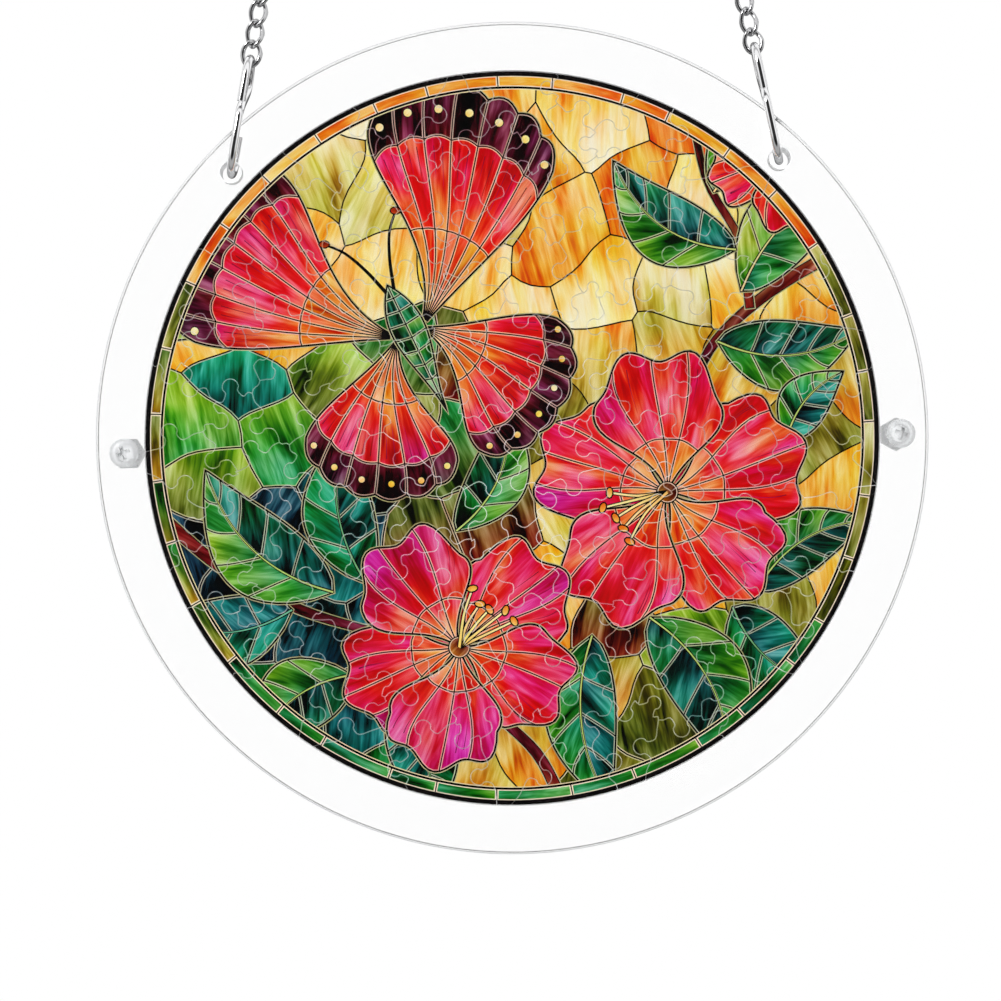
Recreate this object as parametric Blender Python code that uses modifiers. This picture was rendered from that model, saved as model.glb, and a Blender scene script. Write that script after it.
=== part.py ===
"""Round acrylic suncatcher: a jigsaw picture in a clear screwed frame, hung on a chain.

Units are metres and +Z is up.  The origin is the hang point, where the chain's top link
bears on its nail.  The disc hangs below it in the XZ plane and faces -Y.
"""
import math

import bmesh
import bpy
from mathutils import Matrix, Vector

MM = 0.001
GAP = 0.3 * MM                     # clearance left between pieces that rest on each other

# Clear frame: two plates and a ring between them, all cut from the same sheet
FRAME_RADIUS = 100.0 * MM
SHEET = 1.8 * MM
STACK = 3 * SHEET + 2 * GAP
PICTURE_RADIUS = 88.4 * MM
RIM_SIDES = 64                     # sides of the large circles
HOLE_SIDES = 12

# Holes through the frame
FIXING_CIRCLE = 93.1 * MM          # radius on which all four holes lie
HOOK_HOLE_ANGLE = math.radians(45.2)    # from the disc's top, as the next one is
SCREW_HOLE_ANGLE = math.radians(90.8)
HOOK_HOLE_RADIUS = 2.5 * MM
SCREW_HOLE_RADIUS = 2.25 * MM

# M4 plastic screw and nut
SHANK_RADIUS = 1.95 * MM
HEAD_RADIUS = 3.5 * MM
HEAD_HEIGHT = 2.4 * MM
RECESS_LENGTH = 3.9 * MM
RECESS_WIDTH = 1.0 * MM
RECESS_DEPTH = 1.2 * MM
NUT_FLATS = 7.0 * MM
NUT_HEIGHT = 3.0 * MM
NUT_TURNS = {-1: math.radians(30), 1: 0.0}    # how far each nut is turned, by side
SHANK_PAST_NUT = 0.8 * MM
SCREW_STEPS = 12

# S-hook; unturned, it lies in the plane of the chain's run and the frame's thickness
HOOK_WIRE_RADIUS = 1.0 * MM
CURL_RADIUS = 5.5 * MM             # to the wire's centre line
CURL_SPACING = 17.2 * MM           # between the centres of the two curls
LOWER_TIP_RISE = 4.2 * MM          # lower tip, above its curl's centre
UPPER_TIP_DROP = 5.7 * MM          # upper tip, below its curl's centre
SPINE_BEND_LOW = 8.0 * MM          # where the spine leaves the front, above the lower curl's centre
HOOK_TURNS = {-1: math.radians(-2), 1: math.radians(7)}    # about the strand, by side
HOOK_SLACK = 0.56 * MM             # above the wire in its hole, so that its sides stand clear too
CURL_STEPS = 8                     # wire lengths in each half circle
SPINE_STEPS = 5

# Curb chain
LINK_WIRE_RADIUS = 0.58 * MM
LINK_END_RADIUS = 0.44 * MM        # the wire is pressed thinner at a link's two ends
LINK_PITCH = 5.1 * MM
LINK_BITE = 0.08 * MM              # how far neighbouring links are sunk into each other
LINK_HALF_WIDTH = 1.78 * MM        # to the wire's centre line, as the next one is
LINK_END_HALF_WIDTH = 1.0 * MM
END_LINK_HALF_WIDTH = 2.1 * MM
END_LINK_SHOULDER = 1.3 * MM
LINK_TWIST = math.radians(45)
LINKS_PER_STRAND = 52
TOP_STEPS = 3                      # links on each side that turn the chain down to its strands

LINK_HALF_LENGTH = (LINK_PITCH + 2 * LINK_END_RADIUS - LINK_BITE) / 2
SLACK_JOINT = LINK_BITE + GAP      # how much closer two runs of links stand where they meet
FRONT = Vector((0, -1, 0))


def new_collection(name):
    collection = bpy.data.collections.new(name)
    bpy.context.scene.collection.children.link(collection)
    return collection


def clear_scene():
    for obj in list(bpy.data.objects):
        bpy.data.objects.remove(obj, do_unlink=True)


def material(name, colour, roughness, metallic=0.0, transmission=0.0):
    """One finish: a Principled shader with plain values."""
    finish = bpy.data.materials.new(name)
    finish.use_nodes = True
    shader = finish.node_tree.nodes["Principled BSDF"]
    shader.inputs["Base Color"].default_value = (*colour, 1.0)
    shader.inputs["Roughness"].default_value = roughness
    shader.inputs["Metallic"].default_value = metallic
    shader.inputs["Transmission Weight"].default_value = transmission
    return finish


def clear_acrylic(name):
    return material(name, (0.97, 0.98, 0.98), 0.03, transmission=1.0)


def chrome(name):
    return material(name, (0.80, 0.80, 0.82), 0.12, metallic=1.0)


def move_to(obj, collection):
    """Put an object in one collection only."""
    for holder in list(obj.users_collection):
        holder.objects.unlink(obj)
    collection.objects.link(obj)


def finish_piece(obj, name, finish, parts):
    obj.name = name
    obj.data.materials.clear()
    obj.data.materials.append(finish)
    move_to(obj, parts)
    return obj


def facing_cylinder(radius, thickness, sides, centre):
    """A disc that faces the front, its thickness along Y."""
    bpy.ops.mesh.primitive_cylinder_add(
        vertices=sides, radius=radius, depth=thickness, location=centre,
        rotation=(math.radians(90), 0, 0))
    return bpy.context.object


def cut(obj, cutter, cutters):
    """Take a cutter's shape out of an object."""
    cutter.hide_render = True
    cutter.display_type = "WIRE"
    move_to(cutter, cutters)
    boolean = obj.modifiers.new("cut_" + cutter.name, "BOOLEAN")
    boolean.operation = "DIFFERENCE"
    boolean.object = cutter


# Layout: everything is worked out downwards from the hang point

def hook_reach():
    """Along the strand, from the end link's last bar to the centre of the hook hole."""
    bar_to_wire = HOOK_WIRE_RADIUS + LINK_WIRE_RADIUS + GAP
    drop_at_face = math.sqrt(CURL_RADIUS ** 2 - (STACK / 2) ** 2)
    sloping_wire = HOOK_WIRE_RADIUS * CURL_RADIUS / drop_at_face
    hole_top = drop_at_face - sloping_wire - HOOK_SLACK
    hole_centre = hole_top + HOOK_HOLE_RADIUS * math.cos(math.pi / HOLE_SIDES)
    return CURL_RADIUS + CURL_SPACING + hole_centre - bar_to_wire


def strand_length():
    """From the last joint of the top links to the centre of the hook hole."""
    links = (LINKS_PER_STRAND - 0.5) * LINK_PITCH + LINK_HALF_LENGTH - SLACK_JOINT
    return links + hook_reach()


def top_joints(lean):
    """The joints right of the top link's centre, down to the top of the right strand."""
    joints = [Vector((LINK_PITCH / 2, 0, 0))]
    for i in range(1, TOP_STEPS + 1):
        fall = (math.radians(90) - lean) * i / TOP_STEPS
        joints.append(joints[-1] + LINK_PITCH * Vector((math.cos(fall), 0, -math.sin(fall))))
    return joints


def strand_lean():
    """The strands' angle from the vertical, at which each one ends over its hole."""
    hole_x = FIXING_CIRCLE * math.sin(HOOK_HOLE_ANGLE)
    lean = math.radians(12)
    for _ in range(30):
        lean = math.asin((hole_x - top_joints(lean)[-1].x) / strand_length())
    return lean


LEAN = strand_lean()
TOP_LINK_CENTRE = Vector((0, 0, LINK_HALF_WIDTH + LINK_WIRE_RADIUS))
TOP_JOINTS = [TOP_LINK_CENTRE + joint for joint in top_joints(LEAN)]
STRAND_TOP = TOP_JOINTS[-1]        # of the right strand, as the next two are
STRAND_DOWN = Vector((math.sin(LEAN), 0, -math.cos(LEAN)))
HOOK_HOLE = STRAND_TOP + STRAND_DOWN * strand_length()
DISC_CENTRE = Vector((0, 0, HOOK_HOLE.z - FIXING_CIRCLE * math.cos(HOOK_HOLE_ANGLE)))


def mirrored(vector, side):
    """A place on the right (side 1), or the same place on the left (side -1)."""
    return Vector((vector.x * side, vector.y, vector.z))


# Clear frame and picture

def frame_layer(name, y, finish, parts, cutters):
    """One layer of the frame, with its two hook holes and two screw holes."""
    layer = facing_cylinder(FRAME_RADIUS, SHEET, RIM_SIDES, DISC_CENTRE + Vector((0, y, 0)))
    for side in (-1, 1):
        places = {"hook_hole": (mirrored(HOOK_HOLE, side), HOOK_HOLE_RADIUS),
                  "screw_hole": (screw_place(side), SCREW_HOLE_RADIUS)}
        for label, (place, radius) in places.items():
            hole = facing_cylinder(radius, 2 * SHEET, HOLE_SIDES, place + Vector((0, y, 0)))
            hole.name = f"{label}_{name}_{side}"
            cut(layer, hole, cutters)
    return finish_piece(layer, name, finish, parts)


def screw_place(side):
    across, up = side * math.sin(SCREW_HOLE_ANGLE), math.cos(SCREW_HOLE_ANGLE)
    return DISC_CENTRE + FIXING_CIRCLE * Vector((across, 0, up))


def build_frame(parts, cutters):
    layer_step = SHEET + GAP
    frame_layer("front_plate", -layer_step, clear_acrylic("front_plate"), parts, cutters)
    frame_layer("back_plate", layer_step, clear_acrylic("back_plate"), parts, cutters)
    ring = frame_layer("spacer_ring", 0, clear_acrylic("spacer_ring"), parts, cutters)
    window = facing_cylinder(PICTURE_RADIUS + GAP, 2 * SHEET, RIM_SIDES, DISC_CENTRE)
    window.name = "picture_window"
    cut(ring, window, cutters)


def build_picture(parts):
    picture = facing_cylinder(PICTURE_RADIUS, SHEET, RIM_SIDES, DISC_CENTRE)
    finish_piece(picture, "picture_disc", material("picture_disc", (0.72, 0.42, 0.14), 0.25), parts)


# Screws and nuts

def turned(profile, steps):
    """A solid turned round Z from a profile of (radius, height) that runs top to bottom."""
    mesh = bpy.data.meshes.new("turned")
    points = [(radius, 0, height) for radius, height in profile]
    edges = [(i, i + 1) for i in range(len(points) - 1)]
    mesh.from_pydata(points, edges, [])
    obj = bpy.data.objects.new("turned", mesh)
    bpy.context.scene.collection.objects.link(obj)
    screw = obj.modifiers.new("turn", "SCREW")
    screw.steps = steps
    screw.render_steps = steps
    screw.use_merge_vertices = True
    screw.merge_threshold = 0.0001
    screw.use_smooth_shade = False
    return obj


def screw_profile():
    """Pan head above zero and shank below it."""
    shank_end = -(STACK + 2 * GAP + NUT_HEIGHT + SHANK_PAST_NUT)
    return [(0, HEAD_HEIGHT),
            (0.60 * HEAD_RADIUS, HEAD_HEIGHT),
            (0.88 * HEAD_RADIUS, 0.80 * HEAD_HEIGHT),
            (HEAD_RADIUS, 0.40 * HEAD_HEIGHT),
            (HEAD_RADIUS, 0),
            (SHANK_RADIUS, 0),
            (SHANK_RADIUS, shank_end + 0.4 * MM),
            (SHANK_RADIUS - 0.4 * MM, shank_end),
            (0, shank_end)]


def recess_bar(turn, place):
    """One of the two bars whose cross is cut into a screw's head."""
    bpy.ops.mesh.primitive_cube_add(size=1, location=place, rotation=(0, turn, 0))
    bar = bpy.context.object
    bar.scale = (RECESS_LENGTH, 2 * RECESS_DEPTH, RECESS_WIDTH)
    bpy.ops.object.transform_apply(location=False, rotation=False, scale=True)
    return bar


def build_screw(side, parts, cutters):
    label = "left" if side < 0 else "right"
    seat = screw_place(side) + FRONT * (STACK / 2 + GAP)
    screw = turned(screw_profile(), SCREW_STEPS)
    screw.rotation_euler = (math.radians(90), 0, 0)
    screw.location = seat
    face = seat + FRONT * HEAD_HEIGHT
    for number, turn in enumerate((20, 110)):
        bar = recess_bar(math.radians(turn * side), face)
        bar.name = f"recess_{label}_{number}"
        cut(screw, bar, cutters)
    finish_piece(screw, "screw_" + label, clear_acrylic("screw_" + label), parts)


def build_nut(side, parts, cutters):
    label = "left" if side < 0 else "right"
    corner_radius = NUT_FLATS / 2 / math.cos(math.radians(30))
    centre = screw_place(side) - FRONT * (STACK / 2 + GAP + NUT_HEIGHT / 2)
    nut = facing_cylinder(corner_radius, NUT_HEIGHT, 6, centre)
    nut.rotation_euler.y = NUT_TURNS[side]
    bore = facing_cylinder(SHANK_RADIUS + GAP, 2 * NUT_HEIGHT, HOLE_SIDES, centre)
    bore.name = "nut_bore_" + label
    cut(nut, bore, cutters)
    finish_piece(nut, "nut_" + label, clear_acrylic("nut_" + label), parts)


# Wire work

def wire_mesh(name, points, radius, resolution, cyclic):
    """A bent wire along a list of points, as a closed mesh."""
    curve = bpy.data.curves.new(name, "CURVE")
    curve.dimensions = "3D"
    curve.twist_mode = "Z_UP"
    curve.bevel_depth = radius
    curve.bevel_resolution = resolution
    curve.use_fill_caps = True
    spline = curve.splines.new("POLY")
    spline.points.add(len(points) - 1)
    for spline_point, point in zip(spline.points, points):
        spline_point.co = (*point, 1)
    spline.use_cyclic_u = cyclic
    obj = bpy.data.objects.new(name, curve)
    bpy.context.scene.collection.objects.link(obj)
    bpy.context.view_layer.update()
    evaluated = obj.evaluated_get(bpy.context.evaluated_depsgraph_get())
    mesh = bpy.data.meshes.new_from_object(evaluated)
    bpy.data.objects.remove(obj)
    weld(mesh)
    return mesh


def weld(mesh):
    """Close the seams between a wire's caps and its side."""
    work = bmesh.new()
    work.from_mesh(mesh)
    bmesh.ops.remove_doubles(work, verts=work.verts, dist=0.00001)
    bmesh.ops.recalc_face_normals(work, faces=work.faces)
    work.to_mesh(mesh)
    work.free()


def arc(centre, start, end, steps):
    """Points of a curl; angles are from the back (+Y), positive upwards."""
    points = []
    for i in range(steps + 1):
        angle = math.radians(start + (end - start) * i / steps)
        points.append(centre + CURL_RADIUS * Vector((math.cos(angle), math.sin(angle))))
    return points


def hook_outline():
    """The S as (back, up) pairs, from the lower tip to the upper one; zero is the lower curl."""
    lower = Vector((0, 0))
    upper = Vector((0, CURL_SPACING))
    points = [lower + Vector((CURL_RADIUS, LOWER_TIP_RISE))]
    points += arc(lower, 0, -180, CURL_STEPS)
    for i in range(SPINE_STEPS + 1):
        share = i / SPINE_STEPS
        height = SPINE_BEND_LOW + (CURL_SPACING - SPINE_BEND_LOW) * share
        points.append(Vector((-CURL_RADIUS * math.cos(math.pi * share), height)))
    points += arc(upper, 0, 180, CURL_STEPS)[1:]
    points.append(upper + Vector((-CURL_RADIUS, -UPPER_TIP_DROP)))
    return points


def build_hook(side, parts):
    label = "left" if side < 0 else "right"
    down = mirrored(STRAND_DOWN, side)
    hole_below_curl = hook_reach() + HOOK_WIRE_RADIUS + LINK_WIRE_RADIUS + GAP
    curl = mirrored(HOOK_HOLE, side) - down * (hole_below_curl - CURL_RADIUS - CURL_SPACING)
    backward = Matrix.Rotation(HOOK_TURNS[side], 3, down) @ -FRONT
    route = [curl + backward * back - down * up for back, up in hook_outline()]
    mesh = wire_mesh("hook", route, HOOK_WIRE_RADIUS, 1, False)
    obj = bpy.data.objects.new("hook", mesh)
    finish_piece(obj, "hook_" + label, chrome("hook_" + label), parts)


def link_route(corners, twist_from):
    """A link's centre line, flat in XY along X, with its ends wrung about X."""
    route = []
    for x, y in corners:
        share = max(x / LINK_HALF_LENGTH, twist_from)
        angle = LINK_TWIST * share
        route.append(Vector((x, y * math.cos(angle), y * math.sin(angle))))
    return route


def plain_link():
    length, end, side = LINK_HALF_LENGTH, LINK_END_HALF_WIDTH, LINK_HALF_WIDTH
    corners = [(length, -end), (length, end), (0, side),
               (-length, end), (-length, -end), (0, -side)]
    return wire_mesh("link", link_route(corners, -1), LINK_WIRE_RADIUS, 0, True)


def end_link():
    """The link on the hook: wider, and left flat at its lower end, for the thicker wire."""
    length, side, shoulder = LINK_HALF_LENGTH, END_LINK_HALF_WIDTH, END_LINK_SHOULDER
    corners = [(length, -LINK_END_HALF_WIDTH), (length, LINK_END_HALF_WIDTH), (0, side),
               (-shoulder, side), (-length, shoulder), (-length, -shoulder),
               (-shoulder, -side), (0, -side)]
    return wire_mesh("end_link", link_route(corners, 0), LINK_WIRE_RADIUS, 0, True)


def link_matrix(centre, along):
    """Stands a link on its place: its length along the chain, its flat side to the front."""
    across = FRONT.cross(along)
    turn = Matrix((along, across, FRONT)).transposed().to_4x4()
    return Matrix.Translation(centre) @ turn


def joined(name, placed):
    """One mesh object from links that don't touch each other."""
    work = bmesh.new()
    for mesh, matrix in placed:
        copy = mesh.copy()
        copy.transform(matrix)
        work.from_mesh(copy)
        bpy.data.meshes.remove(copy)
    mesh = bpy.data.meshes.new(name)
    work.to_mesh(mesh)
    work.free()
    return bpy.data.objects.new(name, mesh)


def build_run(name, placed, parts, cutters):
    """A run of chain: every second link is joined to the links between by a union."""
    run = joined(name, placed[0::2])
    between = joined(name + "_between", placed[1::2])
    finish_piece(run, name, chrome(name), parts)
    union = run.modifiers.new("union", "BOOLEAN")
    union.operation = "UNION"
    union.object = between
    between.hide_render = True
    between.display_type = "WIRE"
    move_to(between, cutters)


def build_chain(parts, cutters):
    link, last_link = plain_link(), end_link()
    for side in (-1, 1):
        top, down = mirrored(STRAND_TOP, side), mirrored(STRAND_DOWN, side)
        placed = []
        for i in range(LINKS_PER_STRAND):
            centre = top + down * ((i + 0.5) * LINK_PITCH - SLACK_JOINT)
            mesh = last_link if i == LINKS_PER_STRAND - 1 else link
            placed.append((mesh, link_matrix(centre, -down)))
        build_run("chain_left" if side < 0 else "chain_right", placed, parts, cutters)

    joints = [mirrored(joint, -1) for joint in reversed(TOP_JOINTS)] + TOP_JOINTS
    top_links = []
    for start, end in zip(joints, joints[1:]):
        along = (end - start).normalized()
        top_links.append((link, link_matrix((start + end) / 2, along)))
    build_run("chain_top", top_links, parts, cutters)


def main():
    clear_scene()
    parts = new_collection("suncatcher")
    cutters = new_collection("cutters")
    build_frame(parts, cutters)
    build_picture(parts)
    for side in (-1, 1):
        build_screw(side, parts, cutters)
        build_nut(side, parts, cutters)
        build_hook(side, parts)
    build_chain(parts, cutters)


main()
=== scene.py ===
# %% [markdown]
# # A stained-glass jigsaw suncatcher
#
# The real object is a round jigsaw of printed acrylic, held between two clear discs and
# hung by two S-hooks from a thin curb chain. The frame below is the engineer's model: it
# fixes every place and size. Each cell after it models one piece, or one finish, around it.

# %% Load the frame
import math
from itertools import product

import bpy
import numpy as np
from mathutils import Matrix, Vector
from mathutils.geometry import delaunay_2d_cdt


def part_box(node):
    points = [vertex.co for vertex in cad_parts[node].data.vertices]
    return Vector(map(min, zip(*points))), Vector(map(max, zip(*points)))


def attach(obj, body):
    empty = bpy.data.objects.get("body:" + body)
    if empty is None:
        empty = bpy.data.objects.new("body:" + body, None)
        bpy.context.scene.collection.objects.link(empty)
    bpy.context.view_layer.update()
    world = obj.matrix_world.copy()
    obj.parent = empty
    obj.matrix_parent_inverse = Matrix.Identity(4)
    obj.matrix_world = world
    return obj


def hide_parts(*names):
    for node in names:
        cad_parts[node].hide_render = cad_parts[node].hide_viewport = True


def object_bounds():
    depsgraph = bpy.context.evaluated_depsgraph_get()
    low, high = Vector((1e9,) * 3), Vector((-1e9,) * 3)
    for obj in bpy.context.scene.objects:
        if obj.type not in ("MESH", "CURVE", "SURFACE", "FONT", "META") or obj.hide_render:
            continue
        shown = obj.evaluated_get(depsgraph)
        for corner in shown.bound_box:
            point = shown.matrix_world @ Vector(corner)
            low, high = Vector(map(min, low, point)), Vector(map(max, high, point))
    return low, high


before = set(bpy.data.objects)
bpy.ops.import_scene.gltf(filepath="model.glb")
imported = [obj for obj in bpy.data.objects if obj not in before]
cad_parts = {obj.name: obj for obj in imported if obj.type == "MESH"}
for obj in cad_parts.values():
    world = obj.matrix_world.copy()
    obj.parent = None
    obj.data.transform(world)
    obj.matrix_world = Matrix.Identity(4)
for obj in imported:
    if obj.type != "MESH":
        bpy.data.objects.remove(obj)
cad_box = [list(corner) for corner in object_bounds()]
MM = 0.001
print("frame loaded:", len(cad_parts), "nodes, lowest point", round(cad_box[0][2], 4))

# %% [markdown]
# Everything is placed from the frame. The middle of the disc, its radius and the three
# layers of its stack are read from the boxes of the solids that stand for them.

# %% Places read from the frame
FRAME_LOW, FRAME_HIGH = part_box("front_plate")
DISC_CENTRE = Vector((0, 0, (FRAME_LOW.z + FRAME_HIGH.z) / 2))
FRAME_RADIUS = (FRAME_HIGH.x - FRAME_LOW.x) / 2
STACK_FRONT = FRAME_LOW.y
STACK_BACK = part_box("back_plate")[1].y
PICTURE_LOW, PICTURE_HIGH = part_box("picture_disc")
PICTURE_RADIUS = (PICTURE_HIGH.x - PICTURE_LOW.x) / 2
SCREW_HOLES = []
for node in ("screw_left", "screw_right"):
    low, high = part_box(node)
    SCREW_HOLES.append(Vector(((low.x + high.x) / 2, 0, (low.z + high.z) / 2)))
FIXING_RADIUS = (SCREW_HOLES[1] - DISC_CENTRE).length
HOOK_HOLE_ANGLE = math.radians(45.2)    # from the disc's upright line
HOOK_HOLES = [DISC_CENTRE + FIXING_RADIUS * Vector((side * math.sin(HOOK_HOLE_ANGLE), 0,
                                                    math.cos(HOOK_HOLE_ANGLE)))
              for side in (-1, 1)]
print("disc", round(FRAME_RADIUS / MM, 1), "mm, picture", round(PICTURE_RADIUS / MM, 1), "mm")

# %% [markdown]
# A few small helpers keep the modelling cells short. An operator works on what is
# selected, so each step starts by choosing one object and nothing else.

# %% Helpers for modelling with operators
def choose(*objects):
    """Select these objects alone, the last one active."""
    bpy.ops.object.select_all(action="DESELECT")
    for obj in objects:
        obj.select_set(True)
    bpy.context.view_layer.objects.active = objects[-1]


def edit_only(obj, parts, wanted):
    """Open an object in edit mode with only the wanted vertices, edges or faces selected."""
    choose(obj)
    bpy.ops.object.mode_set(mode="EDIT")
    bpy.ops.mesh.select_all(action="DESELECT")
    bpy.ops.object.mode_set(mode="OBJECT")
    for part in getattr(obj.data, parts):
        part.select = wanted(part)
    bpy.ops.object.mode_set(mode="EDIT")


def apply_modifier(obj, kind, **settings):
    """Add a modifier, set it up and apply it at once."""
    choose(obj)
    modifier = obj.modifiers.new(kind.lower(), kind)
    for key, value in settings.items():
        setattr(modifier, key, value)
    bpy.ops.object.modifier_apply(modifier=modifier.name)


def place(obj):
    """Put the object's location, turn and scale into its mesh, so that it sits at the origin."""
    choose(obj)
    bpy.ops.object.transform_apply(location=True, rotation=True, scale=True)


def disc(radius, thickness, centre, sides):
    """A cylinder that faces the front, its thickness along Y."""
    bpy.ops.mesh.primitive_cylinder_add(vertices=sides, radius=radius, depth=thickness,
                                        location=centre, rotation=(math.radians(90), 0, 0))
    obj = bpy.context.object
    place(obj)
    return obj


def cut_away(obj, cutter):
    """Cut one shape out of another, and throw the cutter away."""
    apply_modifier(obj, "BOOLEAN", operation="DIFFERENCE", object=cutter, solver="EXACT")
    bpy.data.objects.remove(cutter, do_unlink=True)


def smooth(obj, angle):
    """Shade smoothly, but keep edges that are sharper than this many degrees."""
    choose(obj)
    bpy.ops.object.shade_smooth_by_angle(angle=math.radians(angle))


def finish_piece(obj, name, finish, slot, *nodes):
    """Name a finished piece, give it its finish, and let it ride and stand for its solids."""
    obj.name = name
    obj.data.name = name
    obj.data.materials.clear()
    obj.data.materials.append(finish)
    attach(obj, "root")
    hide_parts(*nodes)

# %% [markdown]
# ## Finishes
#
# Polished things are never evenly polished. One node group makes a fine uneven roughness
# from two noises, a broad one for handling and a fine one for polishing lines, and every
# gloss finish below uses it with its own limits.

# %% Helpers for node trees
def add_node(tree, kind, inputs=None, **settings):
    """A node with its settings; each input is given a plain value or another node's output."""
    node = tree.nodes.new("ShaderNode" + kind)
    for key, value in settings.items():
        setattr(node, key, value)
    for key, value in (inputs or {}).items():
        if isinstance(value, bpy.types.NodeSocket):
            tree.links.new(value, node.inputs[key])
        else:
            node.inputs[key].default_value = value
    return node


def mix_colours(tree, factor, first, second, mode="MIX"):
    """Mix two colours; each value may be plain or a node's output."""
    node = add_node(tree, "Mix", {0: factor, 6: first, 7: second}, data_type="RGBA")
    node.blend_type = mode
    return node.outputs[2]


def new_group(name, inputs, outputs):
    """An empty node group; inputs are (name, type, default) and outputs (name, type)."""
    group = bpy.data.node_groups.new(name, "ShaderNodeTree")
    for socket_name, kind, default in inputs:
        socket = group.interface.new_socket(socket_name, in_out="INPUT", socket_type=kind)
        if default is not None:
            socket.default_value = default
    for socket_name, kind in outputs:
        group.interface.new_socket(socket_name, in_out="OUTPUT", socket_type=kind)
    return group, group.nodes.new("NodeGroupInput").outputs, group.nodes.new("NodeGroupOutput").inputs


# %% Node group: uneven polish
FINE_SCALE = 900.0                 # of the polishing lines
NOISE_LOW, NOISE_HIGH = 0.12, 0.42     # what the two noises make when they are multiplied


def make_polish():
    group, given, result = new_group(
        "uneven_polish",
        [("Vector", "NodeSocketVector", None), ("Broad Scale", "NodeSocketFloat", 60.0),
         ("Fine Scale", "NodeSocketFloat", FINE_SCALE), ("Low", "NodeSocketFloat", 0.02),
         ("High", "NodeSocketFloat", 0.10)],
        [("Roughness", "NodeSocketFloat"), ("Height", "NodeSocketFloat")])
    broad = add_node(group, "TexNoise", {"Vector": given["Vector"], "Scale": given["Broad Scale"],
                                         "Detail": 2.0})
    fine = add_node(group, "TexNoise", {"Vector": given["Vector"], "Scale": given["Fine Scale"],
                                        "Detail": 4.0, "Roughness": 0.7})
    both = add_node(group, "Math", {0: broad.outputs[0], 1: fine.outputs[0]}, operation="MULTIPLY")
    level = add_node(group, "MapRange", {"Value": both.outputs[0], "From Min": NOISE_LOW,
                                         "From Max": NOISE_HIGH, "To Min": given["Low"],
                                         "To Max": given["High"]})
    group.links.new(level.outputs[0], result["Roughness"])
    group.links.new(fine.outputs[0], result["Height"])
    return group


POLISH = make_polish()
print("node group", POLISH.name, "with", len(POLISH.nodes), "nodes")


# %% Materials that use it
def new_material(name, **plain):
    """A material with one Principled shader; plain values go straight on its sockets."""
    material = bpy.data.materials.new(name)
    material.use_nodes = True
    shader = material.node_tree.nodes["Principled BSDF"]
    for socket, value in plain.items():
        shader.inputs[socket.replace("_", " ")].default_value = value
    return material, material.node_tree, shader


def give_polish(tree, shader, low, high, fine_scale=FINE_SCALE):
    """Let the uneven polish set a shader's roughness; its node comes back."""
    place_on_piece = add_node(tree, "TexCoord").outputs["Object"]
    polish = add_node(tree, "Group", {"Vector": place_on_piece, "Low": low, "High": high,
                                      "Fine Scale": fine_scale}, node_tree=POLISH)
    tree.links.new(polish.outputs["Roughness"], shader.inputs["Roughness"])
    return polish


def polished(name, low, high, fine_scale=FINE_SCALE, bump=0.0, **plain):
    """A gloss finish whose roughness and faint bump come from the uneven polish."""
    material, tree, shader = new_material(name, **plain)
    polish = give_polish(tree, shader, low, high, fine_scale)
    if bump:
        relief = add_node(tree, "Bump", {"Strength": bump, "Distance": 0.05 * MM,
                                         "Height": polish.outputs["Height"]})
        tree.links.new(relief.outputs["Normal"], shader.inputs["Normal"])
    return material

# %% [markdown]
# Cast acrylic is clearer than window glass and almost free of colour, and a laser leaves its
# cut edges polished. It is one plain clear shader, because light has to pass right through
# all three layers. The front edge, broken with a file, and the walls of the hook holes are
# rough, and they catch the light as soft grey lines. The screws and nuts are moulded, so
# they are a little milky. Hooks and chain are steel wire with a bright nickel plate.

# %% Clear acrylic, clear plastic and bright wire
ACRYLIC = polished("cast_acrylic", 0.0, 0.004, Base_Color=(1, 1, 1, 1),
                   Transmission_Weight=1.0, IOR=1.49)
ROUGH_EDGE = polished("rough_acrylic_edge", 0.30, 0.50, bump=0.20,
                      Base_Color=(0.84, 0.85, 0.86, 1), Transmission_Weight=0.50, IOR=1.49)
FILED_EDGE = polished("filed_acrylic_edge", 0.30, 0.50, bump=0.20,
                      Base_Color=(0.45, 0.46, 0.47, 1), Transmission_Weight=0.60, IOR=1.49)
SCREW_PLASTIC = polished("moulded_clear_plastic", 0.20, 0.42, bump=0.25,
                         Base_Color=(0.80, 0.81, 0.82, 1), Transmission_Weight=0.72, IOR=1.46)
HOOK_CHROME = polished("bright_chrome", 0.04, 0.14, fine_scale=1400.0, bump=0.10,
                       Base_Color=(0.86, 0.86, 0.87, 1), Metallic=1.0)
CHAIN_NICKEL = polished("plated_chain", 0.08, 0.22, fine_scale=1800.0, bump=0.15,
                        Base_Color=(0.56, 0.56, 0.57, 1), Metallic=1.0)
print("finishes:", *(finish.name for finish in (ACRYLIC, ROUGH_EDGE, FILED_EDGE, SCREW_PLASTIC,
                                                HOOK_CHROME, CHAIN_NICKEL)))

# %% [markdown]
# ## Clear frame
#
# Two discs and a ring are laser-cut from 1.8 mm sheet. Each starts as a cylinder with
# many sides, so that the rim refracts like a true curve. The holes are cut next. The edges
# that a hand can reach are then broken with a file, widest at the front, and each shows as
# a thin line. The inner edges stay almost as the laser leaves them.

# %% Sizes of the edges and holes, and what is done to them
RIM_SIDES = 256
HOLE_SIDES = 32
HOOK_HOLE_RADIUS = 2.5 * MM
SCREW_HOLE_RADIUS = 2.2 * MM
FRONT_BREAK = 0.30 * MM
BACK_BREAK = 0.15 * MM
INNER_BREAK = 0.03 * MM


def break_edges(layer, y, width):
    """Bevel all the edges that lie in the plane at y."""
    def in_plane(edge):
        return all(abs(layer.data.vertices[corner].co.y - y) < 0.01 * MM for corner in edge.vertices)

    edit_only(layer, "edges", in_plane)
    bpy.ops.mesh.bevel(offset=width, segments=1, affect="EDGES")
    bpy.ops.object.mode_set(mode="OBJECT")


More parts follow.
